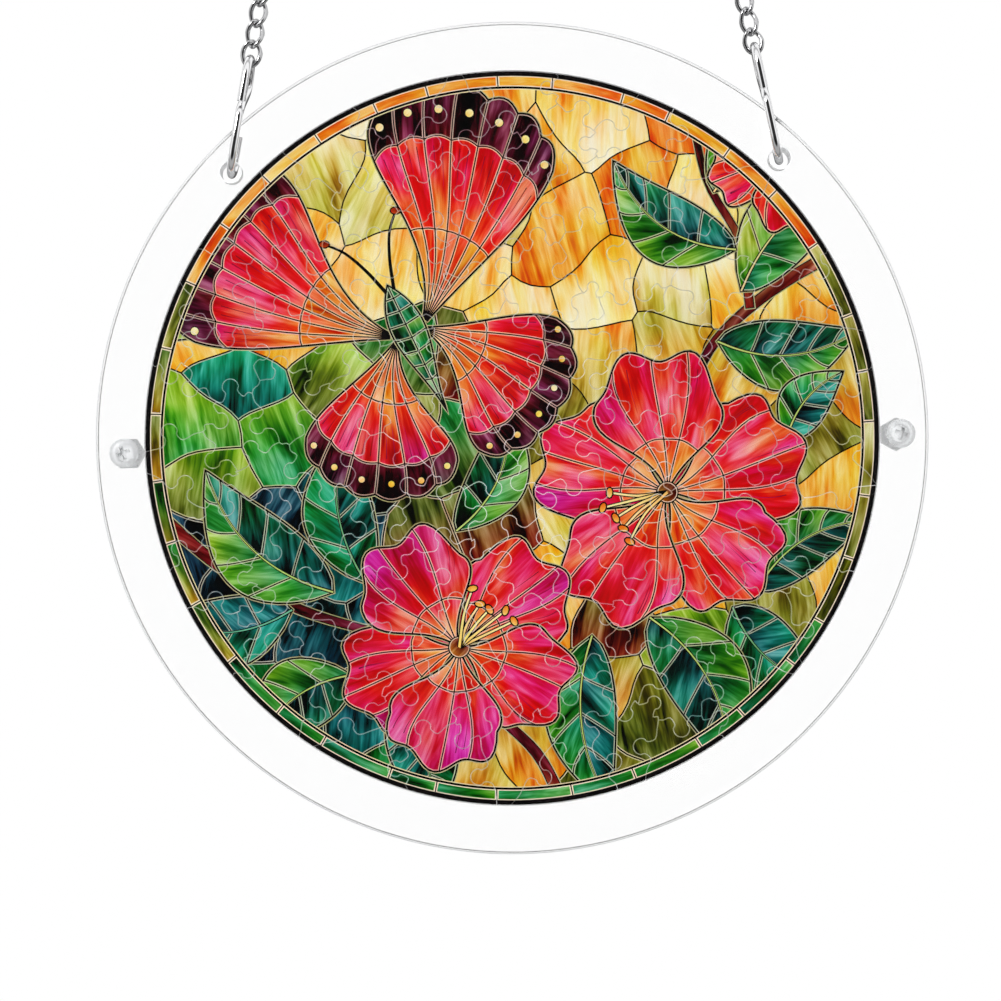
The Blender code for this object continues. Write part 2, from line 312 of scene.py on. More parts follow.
def roughen(layer):
    """Leave the hook holes' walls, and the filed edge in front, as rough as the tools do."""
    for finish in (ROUGH_EDGE, FILED_EDGE):
        layer.data.materials.append(finish)
    for face in layer.data.polygons:
        on_rim = (face.center - DISC_CENTRE).xz.length > 0.99 * FRAME_RADIUS
        in_front = face.center.y < STACK_FRONT + FRONT_BREAK
        by_hook_hole = any((face.center - hole).xz.length < 1.2 * HOOK_HOLE_RADIUS
                           for hole in HOOK_HOLES)
        if on_rim and in_front and -0.9 < face.normal.y < -0.3:      # slants to the front
            face.material_index = 2
        elif by_hook_hole and abs(face.normal.y) < 0.9:              # not the flat face round it
            face.material_index = 1


# %% Cut the plates and the ring
WINDOW_GAP = 0.15 * MM             # from the picture's edge to the ring


def clear_layer(name, node, window_radius=0.0):
    low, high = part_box(node)
    middle = DISC_CENTRE + Vector((0, (low.y + high.y) / 2, 0))
    thickness = high.y - low.y
    layer = disc(FRAME_RADIUS, thickness, middle, RIM_SIDES)
    holes = [(hole, HOOK_HOLE_RADIUS) for hole in HOOK_HOLES]
    holes += [(hole, SCREW_HOLE_RADIUS) for hole in SCREW_HOLES]
    for hole, radius in holes:
        cut_away(layer, disc(radius, 2 * thickness, hole + Vector((0, middle.y, 0)), HOLE_SIDES))
    if window_radius:
        cut_away(layer, disc(window_radius, 2 * thickness, middle, RIM_SIDES))
    for y, outermost, width in ((low.y, STACK_FRONT, FRONT_BREAK), (high.y, STACK_BACK, BACK_BREAK)):
        break_edges(layer, y, width if abs(y - outermost) < 0.1 * MM else INNER_BREAK)
    smooth(layer, 20)
    finish_piece(layer, name, ACRYLIC, "clear_acrylic", node)
    roughen(layer)
    print(name, len(layer.data.polygons), "faces")


clear_layer("clear_front_plate", "front_plate")
clear_layer("clear_back_plate", "back_plate")
clear_layer("clear_spacer_ring", "spacer_ring", PICTURE_RADIUS + WINDOW_GAP)

# %% [markdown]
# ## The printed picture
#
# The print imitates stained glass: coloured panes with streaks in them, dark lead between
# them, and a thin pale line where each pane meets its lead. It is drawn flat, in
# millimetres from the middle of the disc, as a pile of closed outlines. As in painting,
# what is laid later covers what lies under it. Every pane remembers its two colours, the
# line along which one runs into the other, and how streaky its glass is.

# %% Colours of the glass
CREAM, HONEY, AMBER, ORANGE = (254, 240, 184), (250, 208, 104), (240, 164, 40), (240, 120, 24)
OLIVE, MOSS, STRAW, LIME = (150, 148, 52), (98, 108, 36), (214, 202, 112), (152, 196, 50)
LEAF, EMERALD, TEAL, DEEP = (26, 142, 58), (8, 152, 100), (4, 96, 92), (6, 40, 56)
CORAL, SALMON, RED, CRIMSON = (244, 84, 60), (250, 130, 96), (236, 20, 38), (222, 10, 72)
MAGENTA, MAROON, RUST = (206, 26, 144), (96, 10, 36), (150, 52, 26)
LEAD, PALE = (16, 12, 12), (250, 232, 204)

LEAD_WIDTH = 0.54
FINE_LEAD = 0.30
PALE_WIDTH = 0.22
PALE_STREAKS = 0.3                 # the pale lines are less streaky than the glass
PICTURE_EDGE = 84.15               # radius of the picture inside its border
rng = np.random.default_rng(41)


def blend(first, second, share):
    """A colour between two others."""
    return tuple((1 - share) * np.array(first, float) + share * np.array(second, float))


print("lead", LEAD_WIDTH, "and", FINE_LEAD, "mm wide, picture", PICTURE_EDGE, "mm from the middle")


# %% Lines and outlines
def turn(points, degrees):
    """Turn points anticlockwise round the middle."""
    angle = math.radians(degrees)
    turned = np.array([[math.cos(angle), math.sin(angle)], [-math.sin(angle), math.cos(angle)]])
    return np.asarray(points, float) @ turned


def oval(wide, high, sides):
    """Points round an ellipse with these half-axes, anticlockwise from its right end."""
    angle = np.linspace(0, 2 * math.pi, sides, endpoint=False)
    return np.column_stack([wide * np.cos(angle), high * np.sin(angle)])


def circle(radius, sides=240):
    return oval(radius, radius, sides)


def curve(points, steps):
    """A smooth line through a few points (Catmull-Rom), with this many steps in each span."""
    points = np.array(points, float)
    guide = np.vstack([2 * points[:1] - points[1:2], points, 2 * points[-1:] - points[-2:-1]])
    t = np.linspace(0, 1, steps, endpoint=False)[:, None]
    spans = [0.5 * (2 * b + (c - a) * t + (2 * a - 5 * b + 4 * c - d) * t ** 2
                    + (3 * b - a - 3 * c + d) * t ** 3)
             for a, b, c, d in zip(guide, guide[1:], guide[2:], guide[3:])]
    return np.vstack(spans + [points[-1:]])


def tidy_loop(loop, nearest=0.12):
    """Drop points that lie on each other, and run the loop anticlockwise."""
    kept = [loop[0]]
    for point in loop[1:]:
        if np.hypot(*(point - kept[-1])) > nearest:
            kept.append(point)
    while len(kept) > 3 and np.hypot(*(kept[0] - kept[-1])) <= nearest:
        kept.pop()
    kept = np.array(kept)
    after = np.roll(kept, -1, 0)
    area = (kept[:, 0] * after[:, 1] - after[:, 0] * kept[:, 1]).sum()
    return kept if area > 0 else kept[::-1]


def grow(loop, amount):
    """Move an outline outwards by an amount, or inwards by a negative one."""
    ahead = np.roll(loop, -1, 0) - loop
    ahead /= np.maximum(np.linalg.norm(ahead, axis=1, keepdims=True), 1e-9)
    normal_ahead = np.column_stack([ahead[:, 1], -ahead[:, 0]])
    normal = normal_ahead + np.roll(normal_ahead, 1, 0)
    normal /= np.maximum(np.linalg.norm(normal, axis=1, keepdims=True), 1e-9)
    slant = np.maximum((normal * normal_ahead).sum(1, keepdims=True), 0.45)
    return loop + normal * amount / slant


# %% Laying glass and lead on the pile
panes = []


def paint(loop, near, far=None, start=(0, 0), end=(0, 1), streaks=0.0):
    """Lay one closed outline with its colours on the pile."""
    panes.append({"loop": loop, "near": near, "far": far or near, "start": np.array(start, float),
                  "end": np.array(end, float), "streaks": streaks, "shift": rng.uniform(0, 400, 2)})


def glass(loop, near, far, start, end, lead=FINE_LEAD, streaks=1.0, pale=PALE_WIDTH):
    """A pane in its lead: the lead lies half on each side of the outline."""
    loop = tidy_loop(loop)
    if len(loop) < 3:
        return
    paint(grow(loop, lead / 2), LEAD)
    paint(grow(loop, -lead / 2), blend(blend(near, far, 0.5), PALE, 0.72), streaks=PALE_STREAKS)
    paint(grow(loop, -lead / 2 - pale), near, far, start, end, streaks)


def surround(loop, lead):
    """The heavier lead round a whole leaf, petal or wing, pale on its outer side."""
    loop = tidy_loop(loop)
    paint(grow(loop, lead / 2 + PALE_WIDTH), blend(MOSS, PALE, 0.6), streaks=PALE_STREAKS)
    paint(grow(loop, lead / 2), LEAD)


def ribbon(points, wide, narrow, near, far, lead=0.0):
    """A tapering line, such as a stem or a vein, with lead round it if it is glass."""
    line = curve(points, steps=5)
    ahead = np.gradient(line, axis=0)
    ahead /= np.maximum(np.linalg.norm(ahead, axis=1, keepdims=True), 1e-9)
    across = np.column_stack([-ahead[:, 1], ahead[:, 0]])
    half = np.linspace(wide, narrow, len(line))[:, None] / 2
    loop = tidy_loop(np.vstack([line + across * half, (line - across * half)[::-1]]))
    if lead:
        surround(loop, lead)
    paint(loop, near, far, line[0], line[-1], 0.8 if lead else 0.0)

# %% [markdown]
# Leaves, petals and wings are all the same idea: a patch that is spread over a spine or a
# fan and cut into cells by lines that run along it and across it. `mosaic` cuts any such
# patch. A patch is a function from two shares, across (0 to 1) and along (0 to 1), to a
# place on the disc.

# %% Cutting a patch into cells
CELL_STEPS = 7                     # points along each side of a cell
RIM_STEPS = 24                     # points along each long side of a whole patch


def strip(at, start, end, steps=CELL_STEPS):
    """Points of a patch from one pair of shares to another."""
    return [at(start[0] + (end[0] - start[0]) * k / steps, start[1] + (end[1] - start[1]) * k / steps)
            for k in range(steps)]


def mosaic(at, across, along, colours, outer_lead=LEAD_WIDTH):
    """Cut a patch at these shares; colours gives each cell its two colours and their run."""
    base, tip = along[0], along[-1]
    rim = (strip(at, (0, base), (1, base)) + strip(at, (1, base), (1, tip), RIM_STEPS)
           + strip(at, (1, tip), (0, tip), CELL_STEPS * (len(across) - 1))
           + strip(at, (0, tip), (0, base), RIM_STEPS))
    surround(np.array(rim), outer_lead)
    for row, (low, high) in enumerate(zip(along, along[1:])):
        for column, (left, right) in enumerate(zip(across, across[1:])):
            cell = (strip(at, (left, low), (right, low)) + strip(at, (right, low), (right, high))
                    + strip(at, (right, high), (left, high)) + strip(at, (left, high), (left, low)))
            middle = (left + right) / 2
            near, far, run = colours(column, row, (low + high) / 2)
            if run:
                start, end = at(middle, run[0]), at(middle, run[1])
            else:
                start, end = at(0.5, low), at(0.0 if middle < 0.5 else 1.0, (low + high) / 2)
            glass(np.array(cell), near, far, start, end)


# %% Two patches: a fan and a blade
def fan(centre, axis, length, half_angle, ruffle, swirl, close=0.68, round_off=0.22):
    """A petal or wing, spread like a fan from its centre; ruffle gives the rim its waves."""
    def at(across, along):
        side = 2 * across - 1
        spread = half_angle * (0.30 + 0.70 * math.sin(math.pi * (0.06 + close * along)))
        angle = math.radians(axis + spread * side + swirl * math.sin(math.pi / 2 * along))
        rim = 1 - round_off * abs(side) ** 3 + ruffle(across)
        reach = length * along * (1 + (rim - 1) * along ** 2)
        return (centre[0] + reach * math.cos(angle), centre[1] + reach * math.sin(angle))
    return at


def blade(base, tip, width, bend, sweep=0.16, fullest=0.42):
    """A leaf: a bent midrib from base to tip, and cells that sweep towards the tip."""
    base, tip = np.array(base, float), np.array(tip, float)
    line = tip - base
    side_way = np.array([-line[1], line[0]])
    power = math.log(0.5) / math.log(fullest)

    def at(across, along):
        side = 2 * across - 1
        share = along + sweep * abs(side) * math.sin(math.pi * along)
        share = min(share, 1.0)
        middle = base + line * share + side_way * bend * 4 * share * (1 - share)
        half = width / 2 * math.sin(math.pi * share ** power) ** 0.9
        return tuple(middle + side_way / np.hypot(*line) * half * side)
    return at

# %% [markdown]
# The ground behind the motifs is broken glass in irregular pieces. Points are scattered in
# a sunflower spiral, which spreads them evenly, and each piece is the part of the disc that
# is nearest to its own point. The same function cuts the jigsaw further down.

# %% Irregular pieces
NEIGHBOURS = 21                    # how many of the nearest seeds a cell is cut against


def sunflower(count, radius, jitter):
    """Evenly scattered points in a disc, each one moved a little."""
    number = np.arange(count) + 0.5
    reach = radius * np.sqrt(number / count)
    angle = number * math.pi * (3 - math.sqrt(5))
    return (np.column_stack([reach * np.cos(angle), reach * np.sin(angle)])
            + rng.uniform(-jitter, jitter, (count, 2)))


def nearest_cells(seeds, radius, sides=180):
    """For each seed, its cell as (corner, neighbour across the edge that starts there)."""
    edge = [(tuple(corner), -1) for corner in circle(radius, sides)]
    cells = []
    for seed in seeds:
        cell = edge
        for other in np.argsort(np.hypot(*(seeds - seed).T))[1:NEIGHBOURS + 1]:
            middle, away = (seed + seeds[other]) / 2, seeds[other] - seed
            beyond = [float((np.array(corner) - middle) @ away) for corner, _ in cell]
            clipped = []
            for k, (corner, neighbour) in enumerate(cell):
                following = (k + 1) % len(cell)
                if beyond[k] <= 0:
                    clipped.append((corner, neighbour))
                if (beyond[k] <= 0) != (beyond[following] <= 0):
                    share = beyond[k] / (beyond[k] - beyond[following])
                    crossing = tuple(np.array(corner) * (1 - share)
                                     + np.array(cell[following][0]) * share)
                    clipped.append((crossing, other if beyond[k] <= 0 else neighbour))
            cell = clipped
        cells.append(cell)
    return cells


# %% The ground of broken glass
GROUND_PIECES = 74
WAVE_REACH = 1.6                   # how far the lines wander from straight
WAVE = 0.11                        # radians of the wave for each millimetre
GROUND_STEP = 2.2                  # about how long a stretch of their lines is
FLOW = 9                           # how far from its middle a piece's colour still changes
DARK_GLASS = 800                   # six colour values that add up to less are dark glass


def wander(point):
    """Bend straight lines a little, the same way for both pieces that share one."""
    x, y = point
    return (x + WAVE_REACH * (math.sin(WAVE * y + 1.3) + 0.6 * math.sin(2.3 * WAVE * (x + y))),
            y + WAVE_REACH * (math.sin(WAVE * x + 4.1) + 0.6 * math.sin(2.1 * WAVE * (x - y))))


def ground_colours(x, y):
    """Amber and cream above, olive to the right, green and deep teal below and to the left."""
    chance = rng.random()
    if y > 22:
        choice = [(HONEY, CREAM), (AMBER, HONEY), (CREAM, HONEY), (ORANGE, AMBER), (STRAW, CREAM)]
    elif x > 0 and y > -40:
        choice = [(AMBER, HONEY), (OLIVE, STRAW), (STRAW, HONEY), (MOSS, OLIVE), (AMBER, STRAW)]
    elif x < -30 and y < -10:
        choice = [(DEEP, TEAL), (DEEP, DEEP), (TEAL, DEEP), (DEEP, EMERALD)]
    elif x < -30:
        choice = [(TEAL, EMERALD), (MOSS, LIME), (OLIVE, LIME), (LEAF, LIME)]
    else:
        choice = [(OLIVE, LIME), (MOSS, OLIVE), (AMBER, STRAW), (RUST, MOSS), (MOSS, LEAF)]
    return choice[int(chance * len(choice))]


ground_seeds = sunflower(GROUND_PIECES, PICTURE_EDGE + 6, 4.0)
for seed, cell in zip(ground_seeds, nearest_cells(ground_seeds, PICTURE_EDGE + 8)):
    corners = [corner for corner, _ in cell]
    outline = [wander(np.array(a) * (1 - share) + np.array(b) * share)
               for a, b in zip(corners, corners[1:] + corners[:1])
               for share in np.linspace(0, 1, max(1, int(math.dist(a, b) / GROUND_STEP)),
                                        endpoint=False)]
    near, far = ground_colours(*seed)
    slope = rng.uniform(-0.5, 0.5)
    flow = np.array([math.sin(slope), math.cos(slope)]) * FLOW
    glass(np.array(outline), near, far, seed - flow, seed + flow, lead=0.36,
          pale=PALE_WIDTH if sum(near) + sum(far) < DARK_GLASS else 0.0)
print("ground:", GROUND_PIECES, "pieces of glass")

# %% [markdown]
# Twigs and leaves come next. A leaf is two rows of cells, one on each side of its midrib:
# one side catches the light and the other is in shade, and each cell runs from dark at the
# midrib to light at the rim.

# %% Twigs and leaves
LEAF_CELLS = 5                     # on each side of the midrib
# The light, body, shade and dark of a leaf's glass
PLAIN, COOL = (LIME, LEAF, TEAL, DEEP), (LIME, EMERALD, TEAL, DEEP)
SHADED, DUSKY = (LEAF, EMERALD, TEAL, DEEP), (EMERALD, TEAL, TEAL, DEEP)
SUNLIT, STRAW_TIPPED = (HONEY, LIME, LEAF, TEAL), (STRAW, LIME, LEAF, TEAL)


def leaf(base, tip, width, bend, tint):
    light, body, shade, dark = tint
    at = blade(base, tip, width, bend)
    cuts = np.linspace(0, 1, LEAF_CELLS + 1) ** 0.92

    def colours(column, row, along):
        if (column == 0) == (bend > 0):
            near = blend(dark, shade, 0.6 * along)
            return near, blend(shade, body, rng.uniform(0.1, 0.8)), None
        near = blend(shade, body, rng.uniform(0.3, 0.9))
        return near, blend(body, light, rng.uniform(0.3, 1.0)), None

    mosaic(at, [0, 0.5, 1], cuts, colours)
    rib = [at(0.5, share) for share in np.linspace(0.0, 0.93, 9)]
    ribbon(rib, 1.0, 0.35, LEAD, LEAD)
    ribbon(rib, 0.42, 0.12, blend(light, PALE, 0.45), blend(light, PALE, 0.3))


def twig(points, wide, narrow):
    ribbon(points, wide, narrow, RUST, MAROON, lead=0.5)


twig([(86, 46), (70, 38), (58, 30), (48, 20), (42, 6)], 2.8, 1.6)
twig([(-88, -14), (-70, -30), (-52, -40), (-34, -46)], 2.8, 1.6)
twig([(10, -88), (4, -76), (-6, -66)], 2.6, 1.8)
twig([(58, 30), (56, 46), (48, 62), (44, 86)], 1.8, 1.1)

# Each leaf's base, tip, width, bend and tint
for leaf_plan in (((50, 22), (84, 24), 17, -0.14, PLAIN),
                  ((56, 34), (88, 62), 18, 0.12, STRAW_TIPPED),
                  ((55, 44), (26, 66), 17, 0.16, PLAIN),
                  ((50, 58), (58, 90), 15, -0.12, SUNLIT),
                  ((66, -2), (80, 14), 12, 0.12, COOL),
                  ((58, -38), (86, -22), 15, 0.14, PLAIN),
                  ((52, -42), (74, -62), 18, -0.13, SHADED),
                  ((32, -44), (50, -82), 20, 0.14, PLAIN),
                  ((18, -48), (22, -90), 17, -0.12, COOL),
                  ((-30, -64), (-22, -92), 16, 0.12, SHADED),
                  ((-40, -56), (-64, -74), 18, -0.14, PLAIN),
                  ((-54, -40), (-88, -40), 17, 0.15, DUSKY),
                  ((-44, -36), (-74, -6), 20, 0.14, PLAIN),
                  ((-36, -34), (-40, 4), 17, 0.12, SHADED),
                  ((-14, -22), (-2, 10), 14, -0.16, PLAIN),
                  ((-84, 26), (-66, 52), 13, -0.14, SUNLIT),
                  ((-40, 88), (-14, 66), 15, 0.14, PLAIN)):
    leaf(*leaf_plan)
print("with twigs and leaves:", len(panes), "outlines on the pile")

# %% [markdown]
# A flower is a ring of ruffled petals, laid so that each one laps over the next. Every
# petal is cut along its length into strips whose reds differ, and the glass streaks run
# outwards, which makes the petals look folded.

# %% Flowers
PETALS = 5
STAMENS = 5
STAMEN_ANGLE = 13                  # degrees from one to the next
THROAT_RADIUS = 2.6
PETAL_REDS = [(ORANGE, CORAL), (CORAL, RED), (ORANGE, RED), (RED, CRIMSON), (CORAL, CRIMSON),
              (RED, RED), (CRIMSON, MAGENTA), (SALMON, RED)]


def petal(centre, axis, length, half_angle, cool):
    """One petal; cool pushes its reds towards magenta."""
    phase = rng.uniform(0, 6)
    at = fan(centre, axis, length, half_angle, swirl=rng.uniform(-9, 9),
             ruffle=lambda across: 0.055 * math.sin(5 * math.pi * across + phase))
    cuts = [0] + sorted(np.array([0.25, 0.5, 0.75]) + rng.uniform(-0.07, 0.07, 3)) + [1]

    def colours(column, row, along):
        near, far = PETAL_REDS[rng.integers(len(PETAL_REDS))]
        near, far = blend(near, CRIMSON, cool * 0.7), blend(far, MAGENTA, cool)
        if row == 0:
            return blend(HONEY, ORANGE, rng.random()), blend(near, RED, 0.3), (0.1, 0.5)
        return blend(near, RED, 0.3), far, (0.4, 1.0)

    mosaic(at, cuts, [0.05, rng.uniform(0.34, 0.42), 1.0], colours, outer_lead=0.6)
    for share in rng.uniform(0.1, 0.9, 4):
        fold = [at(share + 0.02 * math.sin(5 * along), along) for along in np.linspace(0.6, 0.9, 5)]
        ribbon(fold, 0.08, 0.20, CRIMSON, MAROON)


def stamens(centre, axis, length):
    """Pale threads from the throat, each with its pollen head."""
    for number in range(STAMENS):
        angle = math.radians(axis + (number - (STAMENS - 1) / 2) * STAMEN_ANGLE)
        reach = length * rng.uniform(0.75, 1.0)
        tip = np.array(centre) + reach * np.array([math.cos(angle), math.sin(angle)])
        middle = (np.array(centre) + tip) / 2 + rng.uniform(-1.0, 1.0, 2)
        ribbon([centre, middle, tip], 1.15, 0.9, LEAD, LEAD)
        ribbon([centre, middle, tip], 0.62, 0.42, HONEY, CREAM)
        head = turn(oval(1.35, 0.85, 10), math.degrees(angle) + rng.uniform(30, 120)) + tip
        glass(head, HONEY, ORANGE, tip - (0, 1), tip + (0, 1), lead=0.34, pale=0.0, streaks=0.4)


def flower(centre, radius, turned, cool, stamen_axis):
    centre = np.array(centre)
    paint(circle(0.4 * radius, 24) + centre, CRIMSON, MAROON, centre, centre + radius / 3, 0.8)
    for k in range(PETALS):
        number = 2 * k % PETALS    # every second one first, so that they lap over each other
        axis = turned + number * 360 / PETALS + rng.uniform(-4, 4)
        petal(centre, axis, radius * rng.uniform(0.93, 1.05), 0.60 * 360 / PETALS,
              cool * (0.4 + 0.6 * (number % 2)))
    glass(circle(THROAT_RADIUS, 16) + centre, HONEY, MAROON, centre - 2.5, centre + 2.5)
    stamens(centre, stamen_axis, radius * 0.52)


flower((37, -14), 33, 14, cool=0.25, stamen_axis=205)
flower((-14, -50), 29, 50, cool=0.75, stamen_axis=50)
flower((66, 66), 17, 200, cool=0.1, stamen_axis=215)
print("with flowers:", len(panes), "outlines on the pile")

# %% [markdown]
# The butterfly is four fans on one body. Veins run out from the hinge, and two curved
# lines cross them, so each wing has three rows of cells: amber near the body, reds in the
# middle, and a dark rim with a pale spot in every cell.

# %% Butterfly
HINGE = np.array([-24.0, 26.0])
BUTTERFLY_TURN = 24
WING_ROWS = [0.04, 0.42, 0.80, 1.0]
SPOTS_AT, HAIRS_END = 0.905, 0.76  # how far out along the wing


def on_butterfly(*places):
    """Places beside and along its upright body, on the disc."""
    return HINGE + turn(places, BUTTERFLY_TURN)


def wing(axis, length, half_angle, columns, swirl, cool):
    side = math.copysign(1, math.cos(math.radians(axis)))
    start = on_butterfly((3.0 * side, 0))[0]
    at = fan(start, axis + BUTTERFLY_TURN, length, half_angle, swirl=swirl, close=0.56, round_off=0.14,
             ruffle=lambda across: 0.03 * abs(math.sin(columns * math.pi * across)))
    across = np.linspace(0, 1, columns + 1)

    def colours(column, row, along):
        run = WING_ROWS[row], WING_ROWS[row + 1]
        if row == 0:
            near = blend(RUST, ORANGE, rng.uniform(0.3, 1))
            return near, blend(AMBER, CORAL, rng.random()), run
        if row == 1:
            near = blend(CORAL, ORANGE, rng.random())
            return near, blend(RED, MAGENTA, cool * rng.uniform(0.2, 0.9)), run
        return MAROON, blend(MAROON, LEAD, rng.uniform(0.2, 0.8)), run

    mosaic(at, across, WING_ROWS, colours, outer_lead=0.6)
    for left, right in zip(across, across[1:]):
        spot = np.array(at((left + right) / 2, SPOTS_AT))
        dot = circle(0.011 * length + 0.45, 12)
        glass(dot + spot, HONEY, CREAM, spot - 1, spot + 1, lead=0.2, pale=0.0)
        for share in (0.33, 0.67):
            column, reach = left + (right - left) * share, rng.uniform(0.1, 0.24)
            hair = [at(column, along) for along in np.linspace(HAIRS_END - reach, HAIRS_END, 4)]
            ribbon(hair, 0.08, 0.2, CRIMSON, MAROON)


def body_colours(column, row, along):
    near, far = blend(DEEP, EMERALD, rng.uniform(0.3, 1)), blend(TEAL, LIME, rng.uniform(0.2, 0.8))
    return near, far, (along - 0.05, along + 0.05)


for side, cool, hind_axis, fore_axis in ((1, 0.6, -42, 36), (-1, 1.0, 222, 144)):
    wing(hind_axis, 38, 36, 6, -14 * side, cool)
    wing(fore_axis, 57, 29, 7, 16 * side, 0.7 * cool)
tail, crown = on_butterfly((0, -21), (0, 12.5))
mosaic(blade(tail, crown, 8.2, bend=0.0, sweep=0.02, fullest=0.66), [0, 0.5, 1],
       np.linspace(0, 1, 10) ** 0.9, body_colours)
for side in (-1, 1):
    feeler = on_butterfly((side * 1.0, 11), (side * 3.2, 18), (side * 6.0, 24), (side * 9.5, 28))
    ribbon(feeler, 0.9, 0.55, LEAD, LEAD)
    tip = feeler[-1]
    glass(oval(1.3, 0.9, 10) + tip, ORANGE, RUST, tip - 1, tip + 1, pale=0.0)
print("motifs:", len(panes), "outlines on the pile")

# %% [markdown]
# The border is the traditional one: a band of small panes, amber above and green below,
# between two fine lines, inside the black ring that hides the clamped edge.

# %% Border
BORDER_PANES = 35
BORDER_LOW, BORDER_MIDDLE, BORDER_HIGH = 84.90, 86.0, 86.95
JOINT_LEAD, JOINT_GAP = 0.40, 0.84     # widths of the lead between two panes, and of their gap
JOINT_OVERLAP = 0.3                    # how far that lead runs past the panes
# Each colour covers all that lies outside its radius
RINGS = [(PICTURE_EDGE - PALE_WIDTH, blend(STRAW, PALE, 0.7)), (PICTURE_EDGE, LEAD),
         (BORDER_LOW - PALE_WIDTH, PALE), (BORDER_HIGH + PALE_WIDTH, LEAD)]


def border_colour(angle):
    """Round the disc from the right: olive, amber at the top, green at the left and below."""
    height, right = math.sin(angle), math.cos(angle)
    if height > 0.45:
        return blend(AMBER, ORANGE, rng.random()), blend(HONEY, AMBER, rng.random())
    if height < -0.55:
        return blend(LEAF, TEAL, rng.uniform(0, 0.7)), blend(LEAF, LIME, rng.uniform(0.2, 0.8))
    if right > 0:
        return blend(OLIVE, MOSS, rng.random()), blend(OLIVE, STRAW, rng.random())
    return blend(MOSS, LEAF, rng.random()), blend(AMBER, OLIVE, rng.random())


def sector(first, last, low, high):
    """Part of a ring, between two angles and two radii."""
    angle = np.linspace(first, last, 12)
    outward = np.column_stack([np.cos(angle), np.sin(angle)])
    return tidy_loop(np.vstack([outward * low, outward[::-1] * high]))


border_panes_from = len(panes)
border_cuts = np.arange(BORDER_PANES) + rng.uniform(-0.2, 0.2, BORDER_PANES)
border_cuts *= 2 * math.pi / BORDER_PANES
half_lead, half_gap = JOINT_LEAD / 2 / BORDER_LOW, JOINT_GAP / 2 / BORDER_LOW
for first, last in zip(border_cuts, np.append(border_cuts[1:], border_cuts[0] + 2 * math.pi)):
    near, far = border_colour((first + last) / 2)
    start, end = [BORDER_MIDDLE * np.array([math.cos(cut), math.sin(cut)]) for cut in (first, last)]
    paint(sector(first - half_lead, first + half_lead, BORDER_LOW - JOINT_OVERLAP,
                 BORDER_HIGH + JOINT_OVERLAP), LEAD)
    paint(sector(first + half_gap, last - half_gap, BORDER_LOW, BORDER_HIGH),
          near, far, start, end, streaks=1.0)
print("border:", BORDER_PANES, "panes")

# %% [markdown]
# ## Jigsaw
#
# A laser cuts the print into a little over a hundred pieces, each held by round knobs. The
# pieces are again nearest-point cells. Every edge that two cells share is one curve with
# at most one knob, so both pieces fit it. A knob that would come too near to another line
# is tried on the other side, then smaller, and is left out if it still doesn't fit.

# %% One shared cut
LEAST_STEP = 0.12                  # nearest that two points on a cut line may lie
# A full-sized knob: its radius, how far its middle stands out, and half the width of its foot
KNOB_RADIUS, KNOB_REACH, KNOB_FOOT = 1.95, 2.65, 2.5
KNOB_PART = slice(9, -9)           # the points of a cut line that belong to its knob


def cut_line(start, end, side, size, lean):
    """One shared edge, from corner to corner, with a knob of this size on one side."""
    length = np.hypot(*(end - start))
    along = (end - start) / length
    across = np.array([-along[1], along[0]]) * side
    middle = length * (0.5 + 0.06 * lean)
    if size:
        bulb, reach, foot = KNOB_RADIUS * size, KNOB_REACH * size, KNOB_FOOT * size
        profile = [(0, 0), (0.45 * (middle - foot), 0.5 * lean), (middle - foot, -0.25)]
        profile += [(middle + bulb * math.cos(a), reach + bulb * math.sin(a))
                    for a in np.radians(np.linspace(220, -40, 9))]
        profile += [(middle + foot, -0.25), (length - 0.45 * (length - middle - foot), -0.5 * lean),
                    (length, 0)]
    else:
        profile = [(0, 0), (0.3 * length, 0.09 * length * lean), (0.7 * length, -0.09 * length * lean),
                   (length, 0)]
    line = curve([start + along * x + across * y for x, y in profile], steps=3)
    kept = [line[0]]
    for point in line[1:-1]:
        if min(math.dist(point, kept[-1]), math.dist(point, end)) > LEAST_STEP:
            kept.append(point)
    return np.array(kept)


# %% Knobs and outlines of all the pieces
JIGSAW_PIECES = 112
JIGSAW_RADIUS = PICTURE_RADIUS / MM - 0.05
KNOB_SIZES = (1.0, 0.85, 0.7)
KNOB_ROOM = 1.3                    # nearest that a knob may come to another cut
KNOB_EDGE = 5.6                    # shortest edge that a full-sized knob fits on
RIM_ROOM = 1.8                     # nearest that a knob may come to the picture's rim
LOOK_ROUND = 14                    # how far off the cuts are that a knob could meet
KERF = 0.07                        # width of the laser's cut
CUT_LIGHT_RIM = 0.13                  # painted light: a pale rim along each piece's cut


def shared_edges(cells):
    """Corner to corner for each pair of neighbours, as the lower numbered cell sees it."""
    edges = {}
    for index, cell in enumerate(cells):
        for k, (corner, neighbour) in enumerate(cell):
            if neighbour > index:
                following = cell[(k + 1) % len(cell)][0]
                edges[index, neighbour] = (np.array(corner), np.array(following))
    return edges


